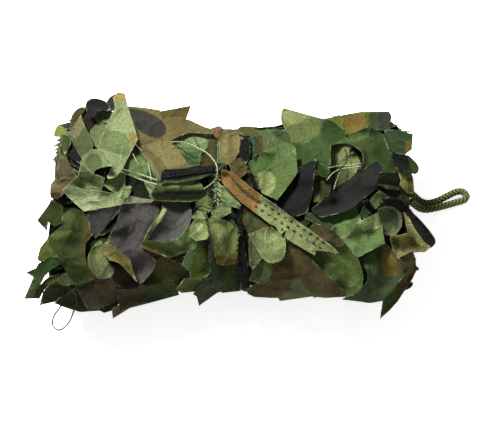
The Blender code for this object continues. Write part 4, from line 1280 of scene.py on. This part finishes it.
def tube(path, radius, around, profile=None):
    """Vertices, faces and UVs, in metres, of a closed tube along a path."""
    side, up = frames_along(path)
    along = along_of(path)
    angle = 2 * math.pi * np.arange(around) / around
    size = np.full((len(path), around), radius)
    if profile is not None:
        size = size * profile(along[:, None], angle[None, :])
    ring = (
        side[:, None, :] * (np.cos(angle)[None, :, None] * size[:, :, None])
        + up[:, None, :] * (np.sin(angle)[None, :, None] * size[:, :, None])
    )
    verts = (path[:, None, :] + ring).reshape(-1, 3)
    count, last = len(verts), (len(path) - 1) * around
    sides = [(j, (j + 1) % around) for j in range(around)]
    faces = [
        (i + j, i + k, i + around + k, i + around + j)
        for i in range(0, last, around)
        for j, k in sides
    ]
    for j, k in sides:
        faces += [(count, k, j), (count + 1, last + j, last + k)]
    verts = np.concatenate([verts, path[:1], path[-1:]])
    across = np.concatenate([np.tile(angle * radius, len(path)), [0, 0]])
    lengthwise = np.concatenate([np.repeat(along, around), along[:1], along[-1:]])
    return verts, faces, np.column_stack([lengthwise, across])


def add_tubes(name, tubes, finish):
    """One piece of one or more tubes, with their UVs."""
    faces, start = [], 0
    for verts, mine, _ in tubes:
        faces += [tuple(int(i) + start for i in face) for face in mine]
        start += len(verts)
    made = add_mesh(name, np.concatenate([verts for verts, _, _ in tubes]), faces, finish, 80)
    add_weave(made, np.concatenate([flat for _, _, flat in tubes]))
    return made


ROPE_ROUTE = (  # x, y, z, mm
    (162.8, 31.5, 14), (167.5, 29.5, 9.5), (173, 27.2, 5.0), (180, 25.8, 3.4),
    (189, 28.4, 3.4), (198, 33.6, 3.4), (206, 37.8, 3.4), (212, 38.2, 3.4),
    (215.4, 34, 3.4), (212.5, 29.2, 3.4), (205, 26.6, 3.4), (196, 23.2, 4.2),
    (186, 19.6, 5.6), (178, 18.2, 5.4), (172, 18.8, 6.6), (168, 20.3, 9.2),
    (162.8, 22, 14),
)
STRING_ROUTE = (  # x, y, z, mm
    (-130, -51, 3.0), (-131.5, -60, 1.5), (-133, -69, 0.8), (-135, -77, 0.7),
    (-137, -85, 0.7), (-140, -93, 0.7), (-145, -99, 0.7), (-150, -100, 0.7),
    (-154, -95, 0.7), (-153.5, -87, 0.7), (-149, -79, 0.7), (-145, -70, 0.8),
    (-142, -60, 1.5), (-140, -51, 2.8),
)


def add_cord(name, node, route, thick, finish, around, profile=None):
    """One of the loops that lie on the ground, along its route."""
    path = smooth_line(np.array(route) * MM, 0.1 * thick + 0.1 * MM)
    made = add_tubes(name, [tube(path, thick / 2, around, profile)], finish)
    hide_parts(node)


# ---- what a user would change ---------------------------------------------------------


class NettingSizes(bpy.types.PropertyGroup):
    """Sizes of the bundle's parts."""

    rope_thick: bpy.props.FloatProperty(
        name="Rope",
        description="Thickness of the edge rope",
        default=2 * ROPE_RADIUS,
        unit="LENGTH",
    )
    string_thick: bpy.props.FloatProperty(
        name="String", description="Thickness of the mesh string", default=1.2 * MM, unit="LENGTH"
    )
    tie_wide: bpy.props.FloatProperty(
        name="Tie", description="Width of the tie's turns", default=5.8 * MM, unit="LENGTH"
    )


class NettingColours(bpy.types.PropertyGroup):
    """Colours of the studio."""

    floor: bpy.props.FloatVectorProperty(
        name="Floor",
        description="The studio's floor",
        subtype="COLOR",
        size=3,
        default=linear("fafafa"),
    )


class Maker(bpy.types.Operator):
    """A step in dressing the netting."""

    bl_options = {"REGISTER", "UNDO"}

    def execute(self, context):
        self.make(context.scene)
        return {"FINISHED"}


FLOOR_GLOW, SKY_LIGHT = 0.75, 0.27  # how strongly the floor and the sky shine on the bundle


class NETTING_OT_stage(Maker):
    """Adds the floor, the lights and the camera."""

    bl_idname = "netting.stage"
    bl_label = "Studio"

    def make(self, scene):
        deselect_all()
        bpy.ops.mesh.primitive_plane_add(size=12, location=(0, 0, 0))
        floor = bpy.context.object
        floor.name = "studio_floor"
        made, tree, shader = new_finish("Matt paper backdrop, near white", 0.95)
        grain = add_node(tree, "TexNoise", in_2=3.0)
        tint = add_node(tree, "MapRange", [("Value", grain, "Fac")], in_3=0.97, in_4=1.0)
        paper = add_node(
            tree, "VectorMath", [(3, tint)], operation="SCALE", in_0=scene.netting_colours.floor
        )
        tree.links.new(paper.outputs[0], shader.inputs["Base Color"])
        shader.inputs["Emission Color"].default_value = (1, 1, 1, 1)
        shader.inputs["Emission Strength"].default_value = FLOOR_GLOW
        floor.data.materials.append(made)
        self.lamp("key", (-0.75, 0.7, 1.5), 0.45, 98)
        self.lamp("fill", (0.9, -1.2, 1.5), 1.8, 4)
        scene.view_settings.view_transform = "Standard"
        world = bpy.data.worlds.new("studio")
        scene.world = world
        world.use_nodes = True
        world.node_tree.nodes["Background"].inputs[0].default_value = (1, 1, 1, 1)
        world.node_tree.nodes["Background"].inputs[1].default_value = SKY_LIGHT
        camera = bpy.data.objects.new("camera", bpy.data.cameras.new("camera"))
        scene.collection.objects.link(camera)
        camera.data.lens = SENSOR * CAMERA_FAR / (FRAME_WIDE * SQUARE)
        camera.data.sensor_width = SENSOR
        axes = np.column_stack([(1, 0, 0), UPWARD, TOWARD])
        camera.matrix_world = Matrix.Translation(VIEW.camera() + SHIFT) @ Matrix(axes).to_4x4()
        scene.camera = camera

    def lamp(self, name, place, size, power):
        """A soft square lamp that points at the bundle."""
        data = bpy.data.lights.new(name, "AREA")
        data.size, data.energy = size, power
        made = bpy.data.objects.new(name, data)
        bpy.context.scene.collection.objects.link(made)
        made.location = place
        made.rotation_euler = (-Vector(place)).to_track_quat("-Z", "Y").to_euler()


class NETTING_OT_cords(Maker):
    """Adds the loop of edge rope and the loop of mesh string on the ground."""

    bl_idname = "netting.cords"
    bl_label = "Rope and string"

    def make(self, scene):
        sizes = scene.netting_sizes

        def braid(along, angle):
            """The strands of a braid run in a zigzag round it."""
            zigzag = np.abs((angle / math.pi) % 1 - 0.5) * math.pi * sizes.rope_thick / 2
            return 0.84 + 0.15 * np.abs(np.sin(math.pi * (along + BRAID_SLANT * zigzag) / BRAID))

        add_cord(
            "edge_rope", "rope_loop", ROPE_ROUTE, sizes.rope_thick, "rope", 30, braid
        )
        add_cord(
            "mesh_string", "string_loop", STRING_ROUTE, sizes.string_thick,
            "string", 8,
        )


TURN_STEPS, NET_STEPS = 36, 29  # rows of points in a turn of the wound net, and points in each
NET_THICK, MAP_WIDE = 1.0 * MM, 0.32  # of the wound net, and how wide its own map is, m


class NETTING_OT_roll(Maker):
    """Adds the wound net: one sheet rolled up in nine turns."""

    bl_idname = "netting.roll"
    bl_label = "Wound net"

    def make(self, scene):
        count = PLIES * TURN_STEPS + 1
        rows = []
        for turn in np.arange(count) / TURN_STEPS:
            angle = LIP_ANGLE - 2 * math.pi * turn
            past_lip = min(turn, 1)
            wave = 3.0 * math.sin(7.3 * turn) + 1.6 * math.sin(23 * turn + 1)
            jut = 3 * (1 - math.cos(angle)) + wave
            flare = 2.4 * math.cos(9.1 * turn) + wave / 2
            x = np.linspace(LEFT_END - jut * MM, RIGHT_END + flare * MM, NET_STEPS)
            rumple = 0.7 * np.sin(turn * 31 + x / (19 * MM)) * past_lip
            depth = INSET + 0.6 + 1.2 * past_lip + PLY_PITCH * turn + rumple
            y, z = section(x, np.full(NET_STEPS, angle), depth)
            rows.append(np.column_stack([x, y, z]))
        points = np.concatenate(rows)
        verts, faces = thickened(points, grid_of(count, NET_STEPS), NET_THICK)
        made = add_mesh("wound_net", verts, faces, "net")
        length = float(along_of(points[NET_STEPS // 2 :: NET_STEPS])[-1])
        flat = np.meshgrid(
            np.linspace(0, length, count), np.linspace(0, MAP_WIDE, NET_STEPS), indexing="ij"
        )
        add_weave(made, np.stack(flat, axis=-1).reshape(-1, 2))
        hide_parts("rolled_net")


class NETTING_OT_leaves_all_round(Maker):
    """Lays leaves all round the roll, and the eight larger ones on its back."""

    bl_idname = "netting.leaves_all_round"
    bl_label = "Leaves all round"

    def make(self, scene):
        rng = np.random.default_rng(LEAF_SEED)
        columns = int(2 * ALL_ROUND_REACH / ALL_ROUND_STEP[0]) + 1
        rows = round(2 * WRAP.half_round / ALL_ROUND_STEP[1])
        groups = {}
        for place in rng.permutation(columns * rows):
            i, j = divmod(int(place), rows)
            x = -ALL_ROUND_REACH + (i + 0.5 * (j % 2)) * ALL_ROUND_STEP[0]
            x += rng.uniform(-7, 7) * MM
            v = -WRAP.half_round + j * ALL_ROUND_STEP[1] + rng.uniform(-6, 6) * MM
            length, width = rng.uniform(38, 62) * MM, rng.uniform(22, 38) * MM
            heading = rng.uniform(0, 2 * math.pi)
            if abs(x) > 120 * MM:  # at the ends, leaves point along the roll and out past it
                heading = rng.uniform(-0.6, 0.6) + (math.pi if x < 0 else 0)
            v = (v + WRAP.half_round) % (2 * WRAP.half_round) - WRAP.half_round
            third = "front" if 0 < v < 130 * MM else "back" if v < -40 * MM else "under"
            side = "left" if x < -55 * MM else "right" if x > 55 * MM else "middle"
            name = f"leaves_{third}_{side}"
            cut = round_cut(name, (x, v), length, width, heading, rng, int(place) + 1)
            groups.setdefault(name, []).append(cut)
        for name, cuts in groups.items():
            group_sheet(name, cuts)
            for cut in cuts:
                VIEW.record(*VIEW.seen(cut["points"]), cut["triangles"])
        for row, (x0, step, s0, length, width, slant) in enumerate(BACK_ROWS):
            for k in range(BACK_IN_ROW):
                node = f"back_leaf_{row + 1}_{k + 1}"
                aside = slant if k % 2 else -slant
                middle = ((x0 + step * k + aside / 2) * MM, (s0 - length / 2) * MM)
                cut = round_cut(
                    node + "_cloth", middle, length * 1.15 * MM, width * MM,
                    math.atan2(-length, aside), rng, 700 + 10 * row + k, LEAF_STEP,
                )
                finish_sheet(cut, tone_of(cut["dye"]), node)
        VIEW.settle()


class LeafLayer(Maker):
    """Lays leaves that show, each to its own outline."""

    def lay_all(self, start, stop):
        """Lays the leaves from one of that name up to another."""
        names = [leaf.name for leaf in LEAVES]
        first = names.index(start) if start else 0
        last = names.index(stop) if stop else len(LEAVES)
        for k, leaf in enumerate(LEAVES[first:last], first):
            loop = on_paper(smooth_loop(*read_outline(leaf.outline), LOOP_STEP / SQUARE))
            patches = [(code, patch_depth(text, leaf.soft)) for code, text in leaf.patches]
            shape = leaf_shape(leaf.lift, leaf.curl, leaf.folds, k + 1)
            cut = lay(VIEW, leaf.name + "_cloth", loop, leaf.dye, patches, shape)
            node = leaf.name if leaf.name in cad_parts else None
            finish_sheet(cut, tone_of(leaf.dye), node, 0.4 * k)
            WRAP.record(*WRAP.laid_out(cut["points"]), cut["triangles"])


class NETTING_OT_left_leaves(LeafLayer):
    """Lays the leaves that the tie holds down."""

    bl_idname = "netting.left_leaves"
    bl_label = "Leaves under the tie"

    def make(self, scene):
        self.lay_all(None, FIRST_OVER_TIE)


class NETTING_OT_right_leaves(LeafLayer):
    """Lays the leaves over the tie and right of it."""

    bl_idname = "netting.right_leaves"
    bl_label = "Leaves over the tie"

    def make(self, scene):
        self.lay_all(FIRST_OVER_TIE, None)


TIE_TURNS = (  # piece, node, dye, and x, mm, and share of the width, at shares of the half round
    ("tie_under_cloth", "tie_turn_under", "313f26",
     ((-1, -15, 1), (-0.6, -15, 1), (-0.35, -10.2, 0.9), (0, -10, 0.85), (0.06, -9.5, 0.75),
      (0.22, -13, 0.8), (0.32, -15.5, 0.9), (0.43, -12, 1.1), (0.54, -8.5, 1.3), (0.72, -9, 1),
      (0.85, -10, 1), (1, -15, 1))),
    ("tie_over_cloth", "tie_turn_over", "1b1b18",
     ((-1, -8, 1), (-0.6, -8, 1), (-0.35, -10, 0.9), (0, -10, 0.95), (0.06, -9.5, 0.85),
      (0.12, -8.5, 0.8), (0.24, 5, 1), (0.32, 11.5, 1), (0.45, 15.5, 1.25), (0.6, 16.5, 1.5),
      (0.72, 15, 1.3), (0.85, 13, 1), (1, -8, 1))),
)
TIE_PRESSED = (
    (-1, 6), (-0.9, 6), (-0.4, 1.2), (-0.12, 1.2), (0.04, 6), (0.12, 9), (0.3, 12), (0.45, 11),
    (0.6, 9.5), (0.8, 9), (1, 6),
)
TIE_STEPS, TIE_ACROSS = 150, 5  # points round a turn, and across it
TIE_THICK, TIE_GAP = 0.9 * MM, 1.4 * MM  # of a turn, and how far its face is off what it crosses
# Each dye that the tie is printed in down to a square, and the square.
TIE_PRINTS = (("3c4a2c", 228), ("6f8558", 190), ("7c5638", 141))


class NETTING_OT_tie_turns(Maker):
    """Ties the waist: two turns of torn selvage."""

    bl_idname = "netting.tie_turns"
    bl_label = "Tie"

    def make(self, scene):
        for name, node, dye, way in TIE_TURNS:
            self.turn(name, node, dye, scene.netting_sizes.tie_wide, way)

    def turn(self, name, node, dye, wide, way):
        """One turn, drawn tight over all it crosses, with ruffled edges."""
        count, across = TIE_STEPS, TIE_ACROSS
        share = -1 + 2 * np.arange(count) / count
        table = np.array(way)
        middle = np.interp(share, table[:, 0], table[:, 1]) * MM
        middle = np.convolve(np.pad(middle, 2, mode="wrap"), np.ones(5) / 5, mode="valid")
        at = np.linspace(-0.5, 0.5, across)
        ruffle = 0.35 * MM * np.sin(11 * share * math.pi)[:, None] * at[None, :] * 2
        width = wide * np.interp(share, table[:, 0], table[:, 2])
        width *= 0.94 + 0.12 * np.sin(17 * share)
        x = middle[:, None] + at[None, :] * width[:, None]
        v = np.repeat(share[:, None] * WRAP.half_round, across, axis=1)
        flat = np.column_stack([x.ravel(), v.ravel()])
        level = WRAP.draped(flat, 0.3, 3).reshape(count, across).max(axis=1)
        for _ in range(3):
            level = np.maximum(level, (np.roll(level, 1) + np.roll(level, -1)) / 2)
        most = np.interp(share, *np.array(TIE_PRESSED).T) * MM
        level = np.minimum(level, most + (TIE_THICK if node == "tie_turn_over" else 0.0))
        bow = -0.8 * MM * (2 * at[None, :]) ** 2
        height = level[:, None] + TIE_GAP + bow + ruffle
        points = WRAP.place(flat, height.ravel())
        triangles = grid_of(count, across, closed=True)
        WRAP.record(flat, height.ravel(), triangles[: -2 * (across - 1)])
        seen, depth = VIEW.seen(points)
        front = (v.ravel()[triangles] > -30 * MM).all(axis=1)
        VIEW.record(seen, depth, triangles[front])
        edge = ((0.5 - np.abs(at))[None, :] * width[:, None]).ravel()
        down = PAPER_MIDDLE[1] - seen[:, 1] / SQUARE
        near = np.abs(v.ravel()) < 130 * MM
        patches = [
            (code, np.where(near, (until - down) * SQUARE + 1.2 * MM, -1.0))
            for code, until in TIE_PRINTS
        ]
        verts, faces = thickened(points, triangles, TIE_THICK)
        made = add_mesh(name, verts, faces, "tie")
        paint(made, printed({"flat": flat, "edge": edge}, dye, patches))
        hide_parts(node)


KNOT_WRAPS = (  # squares along each wrap, its thickness in mm, and how high it starts, mm
    ("213,169.5 216,166 220,164.5 224,166 226,170", 3.8, 0.5),
    ("215,164 218,168 221,171.5 225,173", 3.6, 1.3),
    ("224,163.5 222,168 218,171.5 214,172.5", 3.8, 2.2),
)


def knot_folds(along, angle):
    """The folds of a wrap of the knot, which gets thinner to its ends."""
    end = np.minimum(along, along[-1] - along)
    folds = 0.82 + 0.14 * np.sin(5 * angle + along / (2.2 * MM))
    return folds * np.clip(0.55 + end / (5 * MM), 0, 1)


class NETTING_OT_knot(Maker):
    """Ties the knot on the front of the crown, with two torn tails."""

    bl_idname = "netting.knot"
    bl_label = "Knot and tails"

    def make(self, scene):
        self.knot()
        self.tails()

    def knot(self):
        """The knot: wraps of rolled cloth over one another."""
        tubes = []
        for text, thick, high in KNOT_WRAPS:
            line = smooth_line(on_paper(read_outline(text)[0]), 1.2 * MM)
            arch = high * MM + 2.2 * MM * np.sin(math.pi * np.linspace(0, 1, len(line)))
            path = VIEW.place(line, VIEW.draped(line, 0.5, 3) + arch)
            tubes.append(tube(path, thick * MM / 2, 18, knot_folds))
        made = add_tubes("tie_knot_cloth", tubes, "tie")
        points, flat = (np.concatenate([wrap[k] for wrap in tubes]) for k in (0, 2))
        patch = roughness_of(points[:, :2], 5 * MM, 3) * 4 * MM
        cut = {"flat": flat, "edge": np.full(len(flat), 9 * MM)}
        paint(made, printed(cut, "3f4c30", [("6d5a38", patch)]))
        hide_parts("tie_knot")
        seen, depth = VIEW.seen(points[:-20:7])
        i, j = np.rint(VIEW.cells(seen)).astype(int).T
        np.maximum.at(VIEW.level, (i, j), depth)

    def tails(self):
        """The two torn tails."""
        start, stop = on_paper([(258, 204), (322, 245)])
        run = (stop - start) / np.linalg.norm(stop - start)
        side = np.array([-run[1], run[0]])
        share = np.linspace(0, 1, HOLES)
        rows = [start + t * (stop - start) + o * MM * side for o in (-3, 2.6) for t in share]

        def dots(flat):
            """How far inside the holes that a row of needles has punched, longer than wide."""
            away = flat[:, None] - np.array(rows)[None]
            away = np.stack([away @ run / 1.5, away @ side], axis=2)
            return 1.2 * MM - np.linalg.norm(away, axis=2).min(axis=1)

        tails = (
            ("tail_frayed", "10100e", 1,
             "160,182 162,173 165,169 190,168.5 213,165.5 216,172 200,179 180,182.5 162,183.5",
             (("46553a", patch_depth("160,185 164,180 180,180 214,173 216,176 200,183 180,186")),),
             ()),
            ("tail_long", "9c7a45", 2,
             "223,169 232,172 240,178 250,187 262,196 275,205 290,216 305,226.5 320,237.5 "
             "331,245.5 338.5,253 335,254.5 331,252 316,250.5 315,255.5 292,242 284,237 "
             "287,229 281,234.5 275,226 270,224 260,216 250,209 240,201 230,191 222,182 "
             "221,176",
             (("98a46b", patch_depth("262,190 345,246 342,262 312,262 276,240 256,214 258,204")),
              ("5a4828", patch_depth("227,174 229,175 246,190.5 263,204 259,205 242,192.5")),
              ("1c1d14", dots)),
             ((228, 176, 262, 204, 1.6, -1.2), (234, 174, 330, 246, 1.8, 1.2))),
        )
        for k, (node, dye, lift, outline, patches, folds) in enumerate(tails):
            loop = on_paper(smooth_loop(*read_outline(outline), 1.6))
            shape = leaf_shape(lift, 1.2, folds, 400 + k)
            cut = lay(VIEW, node + "_cloth", loop, dye, patches, shape, 1.4 * MM, 0.6)
            finish_sheet(cut, "tie", node)


STRINGS = (  # squares along each string over a gap, its thickness and arch, mm, and finish
    ("171,142 181,142 192,145 200,149 207,153 212,158 216,164 217.5,171 216,178 211,184 204,189",
     0.9, 2.5, "pale thread"),
    ("173,143 184,151 193,157 200,158", 0.8, 1.5, "string"),
    ("193,134 196,142 200,148 199,154", 0.7, 1.5, "string"),
    ("345,149 347,157 346,163 341,168 336,177 333,189", 0.9, 2.5, "string"),
    ("328,168 338,166 348,165.5 361,163.5", 0.8, 2.0, "pale thread"),
    ("327,180 333,173 341,169 352,167.5 361,166", 0.8, 2.0, "pale thread"),
    ("334,189 337,179 341,170 345,164", 0.8, 2.0, "pale thread"),
)
FRAYED_RADIUS = 0.28 * MM
FRAYED = (  # finish; first root, last root and, after the heading in degrees, reach; how many
    ("frayed", (162, 178), (213, 171), 95, 5, 70),
    ("frayed", (162, 174.5), (213, 168.5), 80, 4.5, 60),
    ("frayed", (216, 142), (217, 164), 185, 2.5, 22),
    ("frayed", (214, 173), (213, 206), 195, 5, 34),
    ("pale thread", (217, 175), (216, 200), 215, 4.5, 9),
    ("pale thread", (218, 176), (217, 202), -40, 4, 9),
    ("frayed", (207, 214), (214, 252), 150, 4, 26),
    ("frayed", (242, 205), (242, 226), 180, 5, 26),
    ("frayed", (243, 226), (240, 289), 180, 5, 70),
    ("frayed", (249, 206), (251, 280), 0, 2, 30),
    ("frayed", (316, 250), (333, 252), 270, 3, 8),
    ("frayed", (283, 228), (286, 236), 200, 3, 5),
    ("frayed", (249, 138), (250, 162), 190, 4, 24),
    ("frayed", (258, 135), (257, 160), 190, 4, 20),
    ("frayed", (258, 176), (259, 188), 200, 4, 10),
)
SEAMS = (  # squares along each sewn thread, its thickness, mm, and finish
    ("136,145 139,148 143,151", 0.8, "pale thread"),
    ("121,169 139,174 157,180", 1.0, "pale thread"),
    ("121,172 139,179 157,184.5", 1.0, "pale thread"),
    ("133,154 137,162 142,170", 0.7, "pale thread"),
    ("148,163 150,172 151,180", 0.7, "pale thread"),
    ("76.5,306 77,301 75,295 70,289", 1.1, "string"),
    ("193,198 196,205 193,212", 0.8, "string"),
    ("196,208 202,206 210,209 217,208", 0.8, "string"),
    ("118,205 112,216 103,232", 0.9, "string"),
)


class NETTING_OT_threads(Maker):
    """Adds the net's own strings, the sewn seams and the frayed threads."""

    bl_idname = "netting.threads"
    bl_label = "Strings and threads"

    def make(self, scene):
        for k, (text, thick, arch, kind) in enumerate(STRINGS):
            path = self.route(text, thick, arch)
            string = tube(path, thick * MM / 2, 8)
            made = add_tubes(f"net_string_{k + 1}", [string], kind)
        for kind, name in (("pale thread", "sewn_seams"), ("string", "dark_stitches")):
            sewn = [
                tube(self.route(text, thick, 0.0), thick * MM / 2, 6)
                for text, thick, mine in SEAMS
                if mine == kind
            ]
            add_tubes(name, sewn, kind)
        self.frayed()

    def route(self, text, thick, arch):
        """A thread's path: over what is there, and clear of it in its middle."""
        line = smooth_line(on_paper(read_outline(text)[0]), 1.5 * MM)
        level = VIEW.draped(line, 0.8, 2) + thick * MM * 0.6 + 0.2 * MM
        return VIEW.place(line, level + arch * MM * np.sin(np.linspace(0, math.pi, len(line))))

    def frayed(self):
        """Loose threads at the torn edges: under the knot, on the tails and on the tie."""
        rng = np.random.default_rng(LEAF_SEED + 1)
        tubes = {"frayed": [], "pale thread": []}
        for kind, (x0, y0), (x1, y1), heading, reach, count in FRAYED:
            for t in np.linspace(0, 1, count):
                start = np.array([x0 + (x1 - x0) * t, y0 + (y1 - y0) * t])
                turn = math.radians(heading + rng.uniform(-28, 28))
                far = reach * rng.uniform(0.6, 1.25)
                way = np.array([math.cos(turn), -math.sin(turn)])
                bend = np.array([way[1], -way[0]]) * rng.uniform(-0.3, 0.3) * far
                line = on_paper([start, start + way * far / 2 + bend, start + way * far])
                line = smooth_line(line, 1.2 * MM)
                level = VIEW.draped(line, 0.9, 1) + 0.4 * MM
                tubes[kind].append(tube(VIEW.place(line, level), FRAYED_RADIUS, 4))
        for kind, name in (("frayed", "frayed_dark"), ("pale thread", "frayed_pale")):
            add_tubes(name, tubes[kind], kind)


# Only between these do the tips reach as far as the leaves; elsewhere they keep behind them.
TIPS_ABOVE, TIPS_BELOW = 30 * MM, 60 * MM
TIPS = 64  # at each end


class NETTING_OT_end_tips(Maker):
    """Adds the leaf tips that stick out between the plies at both ends."""

    bl_idname = "netting.end_tips"
    bl_label = "End tips"

    def make(self, scene):
        rng = np.random.default_rng(LEAF_SEED + 2)
        for side, end in ((-1, LEFT_END), (1, RIGHT_END)):
            cuts = []
            for k in range(TIPS):
                angle = rng.uniform(0, 2 * math.pi)
                depth = INSET + 2 + rng.uniform(0, 1) ** 0.8 * 32
                x = end + side * rng.uniform(-6, 1) * MM
                y, z = section(x, angle, depth)
                y2, z2 = section(x, angle + 0.12, depth)
                cross = np.array([0.0, float(y2 - y), float(z2 - z)])
                cross /= np.linalg.norm(cross)
                kept_in = float(z > TIPS_BELOW or (side > 0 and z < TIPS_ABOVE))
                root = np.array([x - 6 * MM * side * kept_in, float(y), float(z)])
                cuts.append(self.tip(root, cross, side, rng, k, 1 - 0.4 * kept_in))
            group_sheet("end_tips_left" if side < 0 else "end_tips_right", cuts)

    def tip(self, root, cross, side, rng, seed, share):
        """One tip: a short leaf that leaves the end and droops."""
        length, width = rng.uniform(8, 17) * MM * share, rng.uniform(9, 18) * MM
        loop = leaf_loop(np.zeros(2), length * 1.3, width, 0.0, rng)
        flat, triangles = triangulated(loop, 3.2 * MM)
        along = flat[:, 0] + 0.2 * length
        lean = rng.uniform(-0.35, 0.35)
        outward = np.array([side * 1.0, 0, 0]) + np.cross(cross, [side, 0, 0]) * lean
        outward /= np.linalg.norm(outward)
        cup = rng.uniform(-1, 1) * 2.0 * MM * (flat[:, 1] / (width / 2)) ** 2
        points = root + outward * along[:, None] + cross * flat[:, 1:2]
        points += np.cross(outward, cross) * cup[:, None]
        droop = np.clip(along, 0, None) ** 2 / (70 * MM) * rng.uniform(0.3, 1.2)
        points[:, 2] = np.maximum(points[:, 2] - droop, LEAST_Z + 0.4 * MM)
        if side < 0:
            triangles = triangles[:, ::-1]
        dyes = ROUND_DYES[int(rng.integers(len(ROUND_DYES)))]
        edge, flat = np.maximum(inside_by(flat, loop), 0), flat + root[1:]
        area = 0.65 * length * 1.3 * width
        cut = dict(name="tip", points=points, triangles=triangles, flat=flat, edge=edge, area=area)
        return printed(cut, dyes[0], [(dyes[1], noise_patch(seed, 16 * MM, 0.1)(flat))])


class NETTING_PT_sidebar(bpy.types.Panel):
    """Lists the steps and what can be changed."""

    bl_idname = "NETTING_PT_sidebar"
    bl_label = "Netting bundle"
    bl_space_type = "VIEW_3D"
    bl_region_type = "UI"
    bl_category = "Netting"

    def draw(self, context):
        for group in (context.scene.netting_sizes, context.scene.netting_colours):
            for key in group.__annotations__:
                self.layout.prop(group, key)
        for step in STEPS:
            self.layout.operator(step.bl_idname)


STEPS = (
    NETTING_OT_stage,
    NETTING_OT_cords,
    NETTING_OT_roll,
    NETTING_OT_leaves_all_round,
    NETTING_OT_left_leaves,
    NETTING_OT_tie_turns,
    NETTING_OT_right_leaves,
    NETTING_OT_knot,
    NETTING_OT_threads,
    NETTING_OT_end_tips,
)
CLASSES = (NettingSizes, NettingColours, *STEPS, NETTING_PT_sidebar)


def register():
    """Adds the classes and the settings to Blender."""
    for made in CLASSES:
        bpy.utils.register_class(made)
    bpy.types.Scene.netting_sizes = bpy.props.PointerProperty(type=NettingSizes)
    bpy.types.Scene.netting_colours = bpy.props.PointerProperty(type=NettingColours)


def unregister():
    """Takes the classes and the settings out again."""
    del bpy.types.Scene.netting_colours
    del bpy.types.Scene.netting_sizes
    for made in reversed(CLASSES):
        bpy.utils.unregister_class(made)


def main():
    """Dresses the part in order."""
    register()
    make_finishes()
    for step in STEPS:
        group, name = step.bl_idname.split(".")
        getattr(getattr(bpy.ops, group), name)()


if __name__ == "__main__":
    main()
